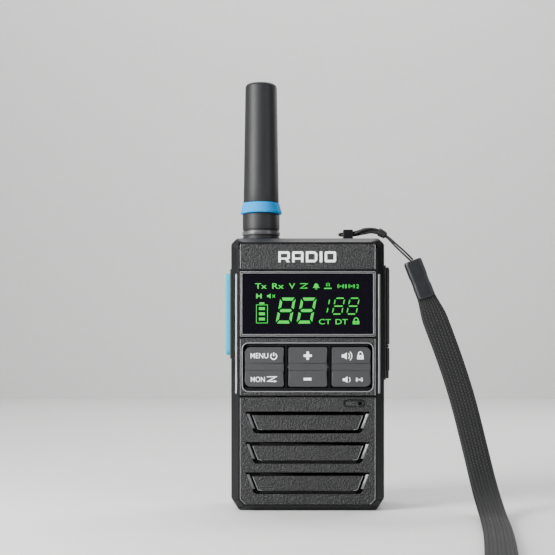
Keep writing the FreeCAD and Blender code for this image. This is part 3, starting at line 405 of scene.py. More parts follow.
def softened(node, look):
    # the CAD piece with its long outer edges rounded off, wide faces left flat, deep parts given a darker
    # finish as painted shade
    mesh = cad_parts[node].data.copy()
    work = bmesh.new()
    work.from_mesh(mesh)
    bmesh.ops.remove_doubles(work, verts=work.verts, dist=softening["merge"])
    bmesh.ops.dissolve_limit(work, angle_limit=math.radians(softening["flat"]), verts=work.verts,
                             edges=work.edges)
    weight = work.edges.layers.float.new("bevel_weight_edge")
    least, most = math.radians(softening["least"]), math.radians(softening["most"])
    for edge in work.edges:
        if len(edge.link_faces) != 2 or edge.calc_length() < softening["shortest"] * mm:
            continue
        if least < edge.calc_face_angle(0) < most:
            edge[weight] = 1
    work.to_mesh(mesh)
    work.free()
    piece = newObject(node + "Rounded", mesh)
    bevel = piece.modifiers.new("rounding", "BEVEL")
    bevel.limit_method = "WEIGHT"
    bevel.width = look["round"] * mm
    bevel.segments = 3
    bevel.use_clamp_overlap = False
    piece = plainPiece(piece, node + "Body")
    mesh = piece.data
    mesh.materials.clear()
    mesh.materials.append(finishes[look["finish"]])
    mesh.materials.append(finishes[look.get("recessShadeFinish", "hole")])
    smooth(piece, 50)
    limit = frontFace + look.get("deep", 1000) * mm
    for face in mesh.polygons:
        face.use_smooth = face.area < softening["widest"] * mm * mm
        face.material_index = 1 if face.center.y > limit else 0
    return place(piece, look.get("body", "casing"), look["slot"], node)


def ringFaces(row, sides, start=0):
    # the band of quads between one ring of points and the next
    faces = []
    for side in range(sides):
        after = (side + 1) % sides
        quad = (row * sides + side, row * sides + after, (row + 1) * sides + after, (row + 1) * sides + side)
        faces.append(tuple(start + index for index in quad))
    return faces


def revolve(name, profile, centre, finish, sides=72):
    # profile: (radius, height) pairs in mm, closed top and bottom on the axis
    points, faces = [], []
    for radius, height in profile:
        for side in range(sides):
            turn = 2 * math.pi * side / sides
            points.append((centre[0] + radius * mm * math.cos(turn), centre[1] + radius * mm * math.sin(turn),
                           centre[2] + height * mm))
    for row in range(len(profile) - 1):
        faces += ringFaces(row, sides)
    faces.append(tuple(range(sides)))
    faces.append(tuple(range(len(points) - sides, len(points))))
    return smooth(meshPiece(name, points, faces, finish), 40)


def splinePoints(route, name):
    # points along the smooth curve that the route's points control
    data = bpy.data.curves.new(name, "CURVE")
    data.dimensions = "3D"
    spline = data.splines.new("NURBS")
    spline.points.add(len(route) - 1)
    for point, spot in zip(spline.points, route):
        point.co = (*spot, 1)
    spline.order_u = 3
    spline.use_endpoint_u = True
    spline.resolution_u = 40
    return [vertex.co.copy() for vertex in plainMesh(newObject(name, data)).vertices]


def evenPoints(points, step):
    # the same line with even spacing
    lengths = [0.0]
    for first, second in zip(points, points[1:]):
        lengths.append(lengths[-1] + (second - first).length)
    count = max(2, round(lengths[-1] / step))
    found, row = [], 0
    for index in range(count + 1):
        target = lengths[-1] * index / count
        while row < len(points) - 2 and lengths[row + 1] < target:
            row += 1
        span = max(lengths[row + 1] - lengths[row], 1e-9)
        found.append(points[row].lerp(points[row + 1], min(1, (target - lengths[row]) / span)))
    return found, lengths[-1]


def directions(points):
    spans = [points[min(i + 1, len(points) - 1)] - points[max(i - 1, 0)] for i in range(len(points))]
    return [span.normalized() for span in spans]


def tubeFaces(rings, around, start=0):
    faces = []
    for row in range(rings - 1):
        faces += ringFaces(row, around, start)
    faces.append(tuple(start + side for side in range(around)))
    faces.append(tuple(start + (rings - 1) * around + side for side in reversed(range(around))))
    return faces


def roundedLoop(left, low, right, high, radius, steps=8):
    # outline of a box with round corners
    loop = []
    corners = ((right - radius, high - radius), (left + radius, high - radius), (left + radius, low + radius),
               (right - radius, low + radius))
    for quarter, (across, up) in enumerate(corners):
        for part in range(steps + 1):
            angle = math.pi / 2 * (quarter + part / steps)
            loop.append((across + radius * math.cos(angle), up + radius * math.sin(angle)))
    return loop


# the height that the woven finish turns into painted highlight and shade
def setRaised(piece, values):
    layer = piece.data.attributes.new("raised", "FLOAT", "POINT")
    layer.data.foreach_set("value", values)


stringRoute = [(0.0124, -0.0060, 0.1076), (0.0182, -0.0060, 0.1076), (0.0228, -0.0063, 0.1092),
               (0.0272, -0.0072, 0.1090), (0.0310, -0.0090, 0.1066), (0.0340, -0.0112, 0.1032),
               (0.0374, -0.0130, 0.0998), (0.0404, -0.0135, 0.0968)]
strapRoute = [(0.0460, -0.0135, 0.0824), (0.0532, -0.0135, 0.0640), (0.0596, -0.0140, 0.0446),
              (0.0644, -0.0164, 0.0240), (0.0668, -0.0256, 0.0090), (0.0670, -0.0430, 0.0018),
              (0.0643, -0.0660, 0.0018), (0.0609, -0.0920, 0.0018), (0.0556, -0.1260, 0.0018)]

# puff: how much the gap between the two layers swells and closes, from puffFrom on
strap = {"width": 9.8, "neck": 6.9, "neckLength": 12.0, "layer": 1.0, "gap": 0.62, "step": 0.24,
         "perColumn": 6, "columns": 8, "stitch": 1.3, "relief": 0.34, "tuck": 2.5, "puff": 0.22,
         "puffFrom": 12.0, "puffRates": (0.011, 0.031), "foldReach": 1.6, "foldSteps": 12}


def strapWidth(along):
    # narrow where the clamp grips it
    share = min(1.0, along / (strap["neckLength"] * mm))
    eased = share * share * (3 - 2 * share)
    return (strap["neck"] + (strap["width"] - strap["neck"]) * eased) * mm


def strapLine(points):
    # down one layer, round the folded end and back up the other: place, facing, width
    heading = directions(points)
    level = Vector((1, 0, 0))
    across = [(level - way * level.dot(way)).normalized() for way in heading]
    facing = [side.cross(way).normalized() for side, way in zip(across, heading)]
    step = (points[1] - points[0]).length
    half = strap["gap"] * mm
    down, back = [], []
    for row, spot in enumerate(points):
        wide = strapWidth(row * step)
        slow, fast = [row * rate for rate in strap["puffRates"]]
        loose = row * step > strap["puffFrom"] * mm
        puff = half * (1 + strap["puff"] * math.sin(slow + 0.6) * math.sin(fast)) if loose else half
        down.append((spot + facing[row] * puff, across[row], wide))
        back.append((spot - facing[row] * puff, across[row], wide))
    turn = []
    last = len(points) - 1
    for part in range(1, strap["foldSteps"]):
        angle = math.pi * part / strap["foldSteps"]
        offset = facing[last] * math.cos(angle) + heading[last] * strap["foldReach"] * math.sin(angle)
        turn.append((points[last] + offset * half, across[last], down[-1][2]))
    return down + turn + back[::-1]


def buildStrap():
    smoothLine, length = evenPoints(splinePoints(strapRoute, "strapLine"), strap["step"] * mm)
    tucked = []
    way = (smoothLine[0] - smoothLine[1]).normalized()
    for part in range(int(strap["tuck"] / strap["step"]), 0, -1):
        tucked.append(smoothLine[0] + way * part * strap["step"] * mm)
    line = strapLine(tucked + smoothLine)
    spots = [spot for spot, side, wide in line]
    heading = directions(spots)
    outer = strap["columns"] * strap["perColumn"]
    section = []
    for part in range(outer + 1):
        flat = -1 + 2 * part / outer
        section.append((flat, max(0, 1 - abs(flat) ** 6) ** 0.5, part / strap["perColumn"]))
    section += [(flat, -1, None) for flat in (0.9, 0.45, 0, -0.45, -0.9)]
    points, raised = [], []
    run = 0.0
    for row, (spot, side, wide) in enumerate(line):
        if row:
            run += (spot - spots[row - 1]).length
        up = side.cross(heading[row]).normalized()
        for flat, thick, columnPlace in section:
            knot = 0.3
            if columnPlace is not None:
                column = min(int(columnPlace), strap["columns"] - 1)
                inside = columnPlace - column
                slant = inside if column % 2 else 1 - inside
                phase = run / (strap["stitch"] * mm) + 0.75 * slant + 0.5 * (column % 2)
                swell = 0.12 + 0.88 * math.sin(math.pi * inside) ** 0.5
                knot = abs(math.sin(math.pi * phase)) ** 0.75 * swell
            lift = strap["relief"] * mm * (knot - 0.5)
            offset = side * (flat * (wide / 2 + lift * 0.2)) + up * (thick * (strap["layer"] * mm / 2 + lift))
            points.append(spot + offset)
            raised.append(knot)
    faces = tubeFaces(len(line), len(section))
    piece = meshPiece("wristStrapWebbing", points, faces, "webbing")
    setRaised(piece, raised)
    smooth(piece, 80)
    place(piece, "casing", "webbing", "wrist_strap")
    return piece, smoothLine, length


# stations: share of the length, size of the section there
clamp = {"width": 7.1, "thick": 4.4, "length": 15.4, "corner": 1.5,
         "stations": [(0.0, 0.90), (0.02, 0.985), (0.05, 1.0), (0.3, 1.0), (0.34, 0.965), (0.44, 0.955),
                      (0.54, 0.965), (0.58, 1.0), (0.93, 1.0), (0.965, 0.985), (0.988, 0.93), (1.0, 0.80)]}


def buildClamp():
    # folded metal crimp: rounded bar, slightly waisted, its mouth rolled outwards
    low, top = Vector(strapRoute[0]), Vector(stringRoute[-1])
    axis = (top - low).normalized()
    side = (Vector((1, 0, 0)) - axis * axis.x).normalized()
    up = side.cross(axis).normalized()
    halfWidth, halfThick = clamp["width"] / 2, clamp["thick"] / 2
    profile = roundedLoop(-halfWidth, -halfThick, halfWidth, halfThick, clamp["corner"], 13)
    points = []
    for share, size in clamp["stations"]:
        spot = low + axis * (share * clamp["length"] * mm)
        thin = size if size < 0.96 else 1
        for across, depth in profile:
            points.append(spot + side * (across * size * mm) + up * (depth * thin * mm))
    faces = tubeFaces(len(clamp["stations"]), len(profile))
    piece = smooth(meshPiece("strapClampCrimp", points, faces, "gunmetal"), 50)
    return place(piece, "casing", "dark_metal", "strap_clamp")


cord = {"thin": 0.36, "thick": 0.5, "knotStart": 0.47, "knotEnd": 0.56, "knotTurns": 4, "knotRadius": 1.25,
        "sides": 12, "step": 0.16, "plait": 0.45, "plaitRelief": 0.12, "twist": 3.4, "bendReach": 1.5}


def strandMesh(points, radius, twist):
    # round braided strand: two crossing helices of plaits raised on its skin
    heading = directions(points)
    shown, raised = [], []
    side = heading[0].orthogonal().normalized()
    for row, spot in enumerate(points):
        side = (side - heading[row] * side.dot(heading[row])).normalized()
        up = heading[row].cross(side)
        for part in range(cord["sides"]):
            angle = 2 * math.pi * part / cord["sides"]
            plait = math.sin(angle * 3 + row * twist) * math.sin(angle * 3 - row * twist)
            reach = radius * mm * (1 + cord["plaitRelief"] * plait)
            shown.append(spot + side * (reach * math.cos(angle)) + up * (reach * math.sin(angle)))
            raised.append(0.5 + 0.5 * plait)
    return shown, tubeFaces(len(points), cord["sides"]), raised


def sideways(heading, angle, reach):
    side = (Vector((0, 0, 1)) - heading * heading.z).normalized()
    return side * (reach * math.cos(angle)) + side.cross(heading) * (reach * math.sin(angle))


def loopPath(line, heading, start, stop, spread, turn):
    # along one side of the line to its start, round a bend and back along the other side
    def twist(row):
        return turn + cord["twist"] * row / len(line)

    def along(row, half):
        near = min(1, (stop - row) / 40) if stop < len(line) - 1 else 1
        reach = spread * mm * (0.55 + 0.45 * near)
        return line[row] + sideways(heading[row], twist(row) + half * math.pi, reach)
    bend = []
    for part in range(1, 10):
        angle = math.pi * part / 10
        offset = sideways(heading[start], twist(start), spread * mm * math.cos(angle))
        bulge = spread * mm * cord["bendReach"] * math.sin(angle)
        bend.append(line[start] + offset - heading[start] * bulge)
    return ([along(row, 0) for row in range(stop, start - 1, -1)] + bend
            + [along(row, 1) for row in range(start, stop + 1)])


def buildString():
    line, length = evenPoints(splinePoints(stringRoute, "stringLine"), cord["step"] * mm)
    heading = directions(line)
    last = len(line) - 1
    knotFrom, knotTo = int(last * cord["knotStart"]), int(last * cord["knotEnd"])
    hitch = next(row for row, spot in enumerate(line) if spot.x > 0.0200)
    strands = [
        (loopPath(line, heading, 4, last, 0.50, 0.3), cord["thin"]),
        (loopPath(line, heading, 8, knotTo - 4, 0.78, 1.9), cord["thin"] * 1.1),
        (loopPath(line, heading, hitch, knotTo - 2, 1.05, 0.9), cord["thick"]),
        (loopPath(line, heading, hitch + 14, knotTo - 3, 1.0, 2.6), cord["thick"]),
    ]
    wraps = []
    steps = (knotTo - knotFrom) * 10
    for row in range(steps):
        share = row / steps
        index = knotFrom + int(share * (knotTo - knotFrom))
        rest = share * (knotTo - knotFrom) % 1
        reach = cord["knotRadius"] * mm * (1 - 0.25 * share)
        spot = line[index].lerp(line[index + 1], rest)
        wraps.append(spot + sideways(heading[index], 2 * math.pi * cord["knotTurns"] * share, reach))
    strands.append((evenPoints(wraps, cord["step"] * mm)[0], cord["thick"] * 0.9))
    points, faces, raised = [], [], []
    for spots, radius in strands:
        shown, skin, heights = strandMesh(spots, radius, cord["plait"])
        faces += [tuple(index + len(points) for index in face) for face in skin]
        points += shown
        raised += heights
    piece = meshPiece("lanyardStringBraid", points, faces, "braid")
    setRaised(piece, raised)
    smooth(piece, 80)
    place(piece, "casing", "cord_braid", "lanyard_string")
    [tuple(spot) for spot in line[::3]] + [tuple(line[-1])]


clampPiece = buildClamp()
strapPiece, strapPath, strapLength = buildStrap()
buildString()
[tuple(spot) for spot in strapPath[::4]] + [tuple(strapPath[-1])]
print("strap length %.4f" % strapLength)


# they belong to the casing unless a body is given
casingPieces = {
    "front_shell": {"round": 0.6, "finish": "casing", "slot": "shell_plastic"},
    "rear_shell": {"round": 0.7, "finish": "casing", "slot": "shell_plastic"},
    "top_panel": {"round": 0.25, "finish": "fascia", "slot": "panel_plastic"},
    "display_frame": {"round": 0.16, "finish": "fascia", "slot": "panel_plastic"},
    "display_lens": {"round": 0.3, "finish": "lens", "slot": "lens_gloss"},
    # faces deeper than 'deep' get the darker finish: painted shade in the key recess and the speaker grooves
    "keypad_bezel": {"round": 0.25, "finish": "fascia", "slot": "panel_plastic", "deep": 0.6,
                     "recessShadeFinish": "casing"},
    "speaker_panel": {"round": 0.2, "finish": "fascia", "slot": "panel_plastic", "deep": 0.6},
    "rocker_key_left": {"round": 0.45, "finish": "keyCap", "body": "key_left", "slot": "grey_plastic"},
    "rocker_key_centre": {"round": 0.45, "finish": "keyCap", "body": "key_centre", "slot": "grey_plastic"},
    "rocker_key_right": {"round": 0.45, "finish": "keyCap", "body": "key_right", "slot": "grey_plastic"},
    "ptt_surround": {"round": 0.25, "finish": "surround", "slot": "grey_plastic"},
    "ptt_button": {"round": 0.15, "finish": "accent", "body": "talk_bar", "slot": "accent_plastic"},
    "side_pad": {"round": 0.25, "finish": "coverPlastic", "slot": "shell_plastic"},
    "port_cover_upper": {"round": 0.4, "finish": "coverPlastic", "body": "upper_cover",
                         "slot": "grey_plastic"},
    "port_cover_lower": {"round": 0.4, "finish": "coverPlastic", "body": "lower_cover",
                         "slot": "grey_plastic"},
    "battery_case": {"round": 0.6, "finish": "casing", "body": "battery", "slot": "shell_plastic"},
    "clip_bracket": {"round": 0.35, "finish": "casing", "body": "battery", "slot": "shell_plastic"},
    "belt_clip": {"round": 0.45, "finish": "casing", "body": "clip", "slot": "shell_plastic"},
    "lanyard_eyelet": {"round": 0.35, "finish": "casing", "slot": "shell_plastic"},
}
for node, look in casingPieces.items():
    softened(node, look)
print("casing pieces rounded:", len(casingPieces))


antenna = {"footRadius": 7.15, "tipRadius": 6.4, "tipRound": 1.5, "boot": 7.5, "collar": 7.7, "flare": 8.4}


def antennaCentre(node):
    low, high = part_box(node)
    return Vector(((low.x + high.x) / 2, (low.y + high.y) / 2, low.z)), (high.z - low.z) / mm


def buildAntenna():
    spot, tall = antennaCentre("antenna_sleeve")
    foot, tip, curve = antenna["footRadius"], antenna["tipRadius"], antenna["tipRound"]
    profile = [(foot - 0.5, 0.0), (foot - 0.12, 0.12), (foot, 0.45)]
    for part in range(1, 9):
        share = part / 8
        profile.append((foot + (tip - foot) * share, 0.45 + (tall - curve - 0.45) * share))
    for part in range(1, 9):
        angle = math.pi / 2 * part / 8
        profile.append((tip - curve + curve * math.cos(angle), tall - curve + curve * math.sin(angle)))
    profile.append((tip - curve - 1.2, tall - 0.05))
    profile.append((0.4, tall - 0.12))
    place(revolve("antennaSleeveSkin", profile, spot, "rubber"), "casing", "antenna_rubber", "antenna_sleeve")
    spot, tall = antennaCentre("antenna_ring")
    wide, boot = antenna["flare"], antenna["boot"]
    profile = [(boot - 0.4, 0), (wide - 0.5, 0), (wide - 0.12, 0.12), (wide, 0.45), (wide - 0.06, 0.9),
               (boot + 0.14, tall - 1.2), (boot, tall - 0.35), (boot - 0.1, tall - 0.1), (boot - 0.4, tall)]
    place(revolve("antennaRingBand", profile, spot, "ringBlue"), "casing", "accent_plastic", "antenna_ring")
    spot, tall = antennaCentre("antenna_boot")
    profile = [(boot - 0.9, 0), (boot - 0.1, 0.1), (boot, 0.5), (boot, 2.2), (boot - 0.35, 2.4),
               (boot - 0.35, 2.8), (boot, 3.0), (boot, 4.6), (boot - 0.3, 4.8), (boot - 0.3, 5.2),
               (boot, 5.4), (boot, tall - 0.6), (boot - 0.2, tall - 0.15), (boot - 0.7, tall)]
    place(revolve("antennaBootSkin", profile, spot, "rubber"), "casing", "antenna_rubber", "antenna_boot")
    spot, tall = antennaCentre("antenna_collar")
    rim = antenna["collar"]
    profile = [(rim - 0.18, 0), (rim - 0.06, 0.08), (rim, 0.3), (rim, tall - 0.3), (rim - 0.06, tall - 0.08),
               (rim - 0.18, tall)]
    place(revolve("antennaCollarBand", profile, spot, "collar"), "casing", "grey_plastic", "antenna_collar")


buildAntenna()
print("antenna turned")


def flatMesh(name, loops, thick):
    # closed outlines in mm, filled, holes left open
    data = bpy.data.curves.new(name, "CURVE")
    data.dimensions = "2D"
    data.fill_mode = "BOTH"
    data.extrude = thick * mm
    for loop in loops:
        spline = data.splines.new("POLY")
        spline.points.add(len(loop) - 1)
        for point, (across, up) in zip(spline.points, loop):
            point.co = (across * mm, up * mm, 0, 1)
        spline.use_cyclic_u = True
    return stood(name, data)


def wordMesh(name, word, box, thick, bold=0.0):
    # plain lettering stretched to fill a box (left, low, right, high) in mm
    data = bpy.data.curves.new(name, "FONT")
    data.body = word
    data.size = 0.01
    data.offset = bold
    data.extrude = thick * mm
    word = stood(name, data)
    spots = [vertex.co for vertex in word.vertices]
    left, right = min(s.x for s in spots), max(s.x for s in spots)
    low, high = min(s.z for s in spots), max(s.z for s in spots)
    for spot in spots:
        spot.x = (box[0] + (box[2] - box[0]) * (spot.x - left) / (right - left)) * mm
        spot.z = (box[1] + (box[3] - box[1]) * (spot.z - low) / (high - low)) * mm
    return word


def stood(name, data):
    # turned upright to face forwards, as a mesh
    mesh = plainMesh(newObject(name, data))
    mesh.transform(Matrix.Rotation(math.radians(90), 4, "X"))
    return mesh


def joinMarks(name, meshes, depth, finish, body, slot):
    # all marks of one colour on one body become one piece at the given Y
    work = bmesh.new()
    for mesh in meshes:
        work.from_mesh(mesh)
        bpy.data.meshes.remove(mesh)
    bmesh.ops.remove_doubles(work, verts=work.verts, dist=1e-7)
    bmesh.ops.translate(work, verts=work.verts, vec=(0, depth, 0))
    return place(workPiece(name, work, finish), body, slot)


def barLoop(left, low, right, high):
    return [(left, low), (right, low), (right, high), (left, high)]


def strokeLoop(first, second, width):
    across, up = second[0] - first[0], second[1] - first[1]
    size = math.hypot(across, up)
    sideX, sideZ = -up / size * width / 2, across / size * width / 2
    return [(first[0] - sideX, first[1] - sideZ), (second[0] - sideX, second[1] - sideZ),
            (second[0] + sideX, second[1] + sideZ), (first[0] + sideX, first[1] + sideZ)]


def arcLoop(centre, radius, width, start, stop, steps=16):
    outer, inner = [], []
    for part in range(steps + 1):
        angle = math.radians(start + (stop - start) * part / steps)
        for loop, reach in ((outer, radius + width / 2), (inner, radius - width / 2)):
            loop.append((centre[0] + reach * math.cos(angle), centre[1] + reach * math.sin(angle)))
    return outer + inner[::-1]


def digitLoops(left, low, width, height, stroke, slant, lit="abcdefg", gap=0.22):
    # seven slanted segments
    def lean(across, up):
        return left + across + up * slant, low + up
    half, middle, inset, wall = stroke / 2, height / 2, stroke * gap, stroke * 0.85
    top, under, over = height - stroke, middle - half, middle + half
    upper = [(0, height - inset), (wall, top - inset), (wall, over + inset), (0, middle + inset)]
    lower = [(0, inset), (wall, stroke + inset), (wall, under - inset), (0, middle - inset)]
    segments = {
        "a": [(inset, height), (width - inset, height), (width - stroke, top), (stroke, top)],
        "d": [(inset, 0), (width - inset, 0), (width - stroke, stroke), (stroke, stroke)],
        "g": [(stroke * 0.55, middle), (stroke, over), (width - stroke, over),
              (width - stroke * 0.55, middle), (width - stroke, under), (stroke, under)],
        "f": upper, "b": [(width - across, up) for across, up in upper],
        "e": lower, "c": [(width - across, up) for across, up in lower],
    }
    return [[lean(*spot) for spot in segments[name]] for name in lit]


def lockLoops(left, low, width, height):
    body = height * 0.56
    middle = left + width / 2
    radius, leg = width * 0.29, width * 0.085
    bend = low + body + (height - body) * 0.42
    shackle = arcLoop((middle, bend), radius, leg * 2, 0, 180)
    legs = [barLoop(middle + side - leg, low + body, middle + side + leg, bend) for side in (-radius, radius)]
    key = [(middle + 0.09 * width * math.cos(part * 0.7), low + body * (0.5 + 0.16 * math.sin(part * 0.7)))
           for part in range(9)]
    return [barLoop(left, low, left + width, low + body), key], [shackle] + legs


def speakerLoops(left, middle, height, waves):
    box = height * 0.42
    neck, mouth = left + box * 0.7, left + box * 1.7
    horn = [(left, middle - box / 2), (neck, middle - box / 2), (mouth, middle - height / 2),
            (mouth, middle + height / 2), (neck, middle + box / 2), (left, middle + box / 2)]
    arcs = [arcLoop((left + box * 1.5, middle), box * (1.15 + 0.75 * row), height * 0.11, -48, 48)
            for row in range(waves)]
    return [horn] + arcs


def dotLoop(centre, level, radius, sides):
    angles = [2 * math.pi * part / sides for part in range(sides)]
    return [(centre + radius * math.cos(angle), level + radius * math.sin(angle)) for angle in angles]


def radioWaves(left, middle, height):
    # generic wireless sign: a dot with two arcs each side of it
    centre = left + height * 0.42
    loops = [dotLoop(centre, middle, height * 0.10, 10)]
    for radius in (0.26, 0.44):
        for start in (-42, 138):
            loops.append(arcLoop((centre, middle), height * radius, height * 0.10, start, start + 84, 10))
    return loops


def scanStrokes(left, low, width, height, stroke):
    # a zigzag that ends in an arrow head, as separate strokes
    right, high, half = left + width, low + height, stroke / 2
    neck = right - width * 0.28
    return [barLoop(left, high - stroke, right, high), barLoop(left, low, neck, low + stroke),
            strokeLoop((right - stroke, high - half), (left + stroke, low + half), stroke),
            [(neck, low - stroke * 0.7), (right, low + half), (neck, low + stroke * 1.7)]]


def powerLoops(centre, radius, stroke):
    across, up = centre
    bar = barLoop(across - stroke / 2, up + radius * 0.05, across + stroke / 2, up + radius * 1.25)
    return [arcLoop(centre, radius, stroke, 125, 415, 28), bar]


def bellLoops(left, low, width, height):
    middle = left + width / 2
    dome = [(left, low + height * 0.22), (left + width * 0.16, low + height * 0.42)]
    for part in range(9):
        angle = math.pi * (1 - part / 8)
        dome.append((middle + width * 0.30 * math.cos(angle), low + height * (0.62 + 0.32 * math.sin(angle))))
    dome += [(left + width * 0.84, low + height * 0.42), (left + width, low + height * 0.22)]
    clapper = barLoop(middle - width * 0.14, low, middle + width * 0.14, low + height * 0.14)
    return [dome, clapper]


print("mark shapes ready")

markDepth = {"thick": 0.012, "display": 0.02, "key": 0.02}
allSegments = "abcdefg"

# boxes are (left, low, right, high) in mm on the front
displayLook = {
    "bold": 0.00008,
    "words": [("Tx", (-20.3, 85.7, -15.8, 87.8)), ("Rx", (-13.7, 85.7, -9.2, 87.8)),
              ("V", (-7.2, 85.7, -4.9, 87.8)), ("CT", (4.3, 72.0, 8.9, 74.0)),
              ("DT", (10.7, 72.0, 15.4, 74.0)), ("1", (14.4, 85.9, 14.95, 87.4)),
              ("2", (18.7, 85.9, 19.7, 87.4))],
    "zigzag": (-3.0, 85.8, 3.1, 2.0, 0.28),
    "bell": (1.9, 85.5, 2.7, 2.4),
    "beacon": [(6.3, 85.6, 9.2, 86.05), (7.1, 86.6, 7.3, 87.9), (7.68, 86.6, 7.88, 88.1),
               (8.26, 86.6, 8.46, 87.9)],
    "letterLegs": [(-19.9, 82.0, -19.3, 83.8), (-18.3, 82.0, -17.7, 83.8)],
    "letterBar": (-19.3, 82.65, -18.3, 83.15),
    "waves": [(11.6, 86.7, 2.6), (15.8, 86.7, 2.6)],
    "muted": (-15.7, 82.9, 1.9, 0),
    "cross": [((-13.6, 82.3), (-12.6, 83.4), 0.28), ((-13.6, 83.4), (-12.6, 82.3), 0.28)],
    "battery": [(-19.9, 72.4, -15.4, 79.6), (-19.66, 72.64, -15.64, 79.36)],
    "cells": [(-18.6, 79.75, -16.7, 80.45), (-18.8, 73.5, -16.5, 74.6), (-18.8, 75.5, -16.5, 76.6),
              (-18.8, 77.5, -16.5, 78.6)],
    "digits": [(-12.4, 72.3, 5.95, 10.0, 1.15, 0.19, allSegments, 0.5),
               (-4.35, 72.3, 5.95, 10.0, 1.15, 0.19, allSegments, 0.5),
               (7.05, 75.7, 3.95, 6.6, 0.5, 0.2, "ef", 1.3),
               (9.2, 75.7, 3.95, 6.6, 0.5, 0.2, allSegments, 1.3),
               (14.8, 75.7, 3.95, 6.6, 0.5, 0.2, allSegments, 1.3)],
    "lock": (17.3, 72.0, 2.6, 2.3),
}


def barLoops(boxes):
    return [barLoop(*box) for box in boxes]


def flatMeshes(shapes, thick):
    return [flatMesh("shape", loops, thick) for loops in shapes]


def displayMarks():
    look, thick = displayLook, markDepth["thick"]
    marks = [wordMesh("word", word, box, thick, look["bold"]) for word, box in look["words"]]
    shapes = [[loop] for loop in scanStrokes(*look["zigzag"])]
    shapes += [bellLoops(*look["bell"]), barLoops(look["beacon"]), barLoops(look["letterLegs"])]
    shapes.append(barLoops([look["letterBar"]]))
    shapes += [radioWaves(*wave) for wave in look["waves"]]
    shapes.append(speakerLoops(*look["muted"]))
    shapes += [[strokeLoop(*stroke)] for stroke in look["cross"]]
    shapes.append(barLoops(look["battery"]))
    shapes += [[loop] for loop in barLoops(look["cells"])]
    shapes += [digitLoops(*digit) for digit in look["digits"]]
    shapes += lockLoops(*look["lock"])
    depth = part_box("display_lens")[0].y - markDepth["display"] * mm
    marks += flatMeshes(shapes, thick)
    joinMarks("displayGlyphs", marks, depth, "greenGlow", "casing", "display_glass")


keyLook = {
    "bold": 0.00005,
    "words": [("MENU", (-22.0, 58.9, -15.2, 60.9)), ("MON", (-21.9, 49.8, -16.5, 51.8))],
    "power": ((-13.1, 59.7), 1.15, 0.42),
    "zigzag": (-15.7, 49.9, 3.9, 2.1, 0.34),
    "signs": [(-1.55, 59.45, 1.55, 60.4), (-0.48, 60.4, 0.48, 61.5), (-0.48, 58.35, 0.48, 59.45),
              (-1.55, 50.4, 1.4, 51.4)],
    "speakers": [(13.1, 59.8, 2.7, 2), (13.5, 50.7, 2.5, 1)],
    "lock": (19.0, 58.5, 2.5, 2.9),
    "waves": (18.7, 50.7, 2.7),
}


def keyMarks():
    look, thick = keyLook, markDepth["thick"]
    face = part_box("rocker_key_left")[0].y - markDepth["key"] * mm
    left = [wordMesh("word", word, box, thick, look["bold"]) for word, box in look["words"]]
    left += flatMeshes([powerLoops(*look["power"])], thick)
    left += flatMeshes([[loop] for loop in scanStrokes(*look["zigzag"])], thick)
    joinMarks("keyLegendsLeft", left, face, "whitePrint", "key_left", "grey_plastic")
    centre = flatMeshes([[loop] for loop in barLoops(look["signs"])], thick)
    joinMarks("keyLegendsCentre", centre, face, "whitePrint", "key_centre", "grey_plastic")
    shapes = [speakerLoops(*speaker) for speaker in look["speakers"]]
    shapes += [*lockLoops(*look["lock"]), radioWaves(*look["waves"])]
    joinMarks("keyLegendsRight", flatMeshes(shapes, thick), face, "whitePrint", "key_right", "grey_plastic")


def blockWord(left, low, high, stroke):
    # RADIO in plain squared capitals
    wide, cut, bar = 4.35, 0.45, high * 0.42
    step, inner = bar - stroke * 0.8, wide - stroke
    hole = barLoop(stroke, stroke, inner, high - stroke)
    upper = barLoop(stroke, bar, inner, high - stroke)
    dome = [(wide, high - cut), (wide - cut, high), (cut, high), (0, high - cut)]
    legs = [(0, 0), (stroke, 0), (stroke, step), (inner, step), (inner, 0), (wide, 0)] + dome
    tail = [(0, 0), (stroke, 0), (stroke, step), (wide - stroke * 1.9, step), (wide - stroke * 1.25, 0),
            (wide, 0), (wide - stroke * 0.7, bar - stroke * 0.75), (wide, bar - 0.3), (wide, high - cut),
            (wide - cut, high), (0, high)]
    bowl = [(0, 0), (wide - cut * 2, 0), (wide, cut * 2), (wide, high - cut * 2), (wide - cut * 2, high),
            (0, high)]
    square = [(cut, 0), (wide - cut, 0), (wide, cut)] + dome + [(0, cut)]
    letters = [([tail, upper], wide), ([legs, upper], wide), ([bowl, hole], wide),
               ([barLoop(0, 0, stroke * 1.1, high)], stroke * 1.1), ([square, hole], wide)]
    found = []
    for loops, width in letters:
        found.append([[(left + across, low + up) for across, up in loop] for loop in loops])
        left += width + 0.95
    return found


# boxes about the microphone's centre, round radius last; depths in mm from the fascia
panelLook = {"word": (-11.3, 95.9, 4.2, 0.9), "wordThick": 0.03, "micThick": 0.02, "bold": 0.00005,
             "micWord": (-5.3, -0.65, -2.0, 0.65), "hole": 0.8, "wordDepth": 0.48, "holeDepth": 0.46,
             "pill": [(-6.15, -1.45, 1.85, 1.45, 1.4), (-5.9, -1.2, 1.6, 1.2, 1.15)]}


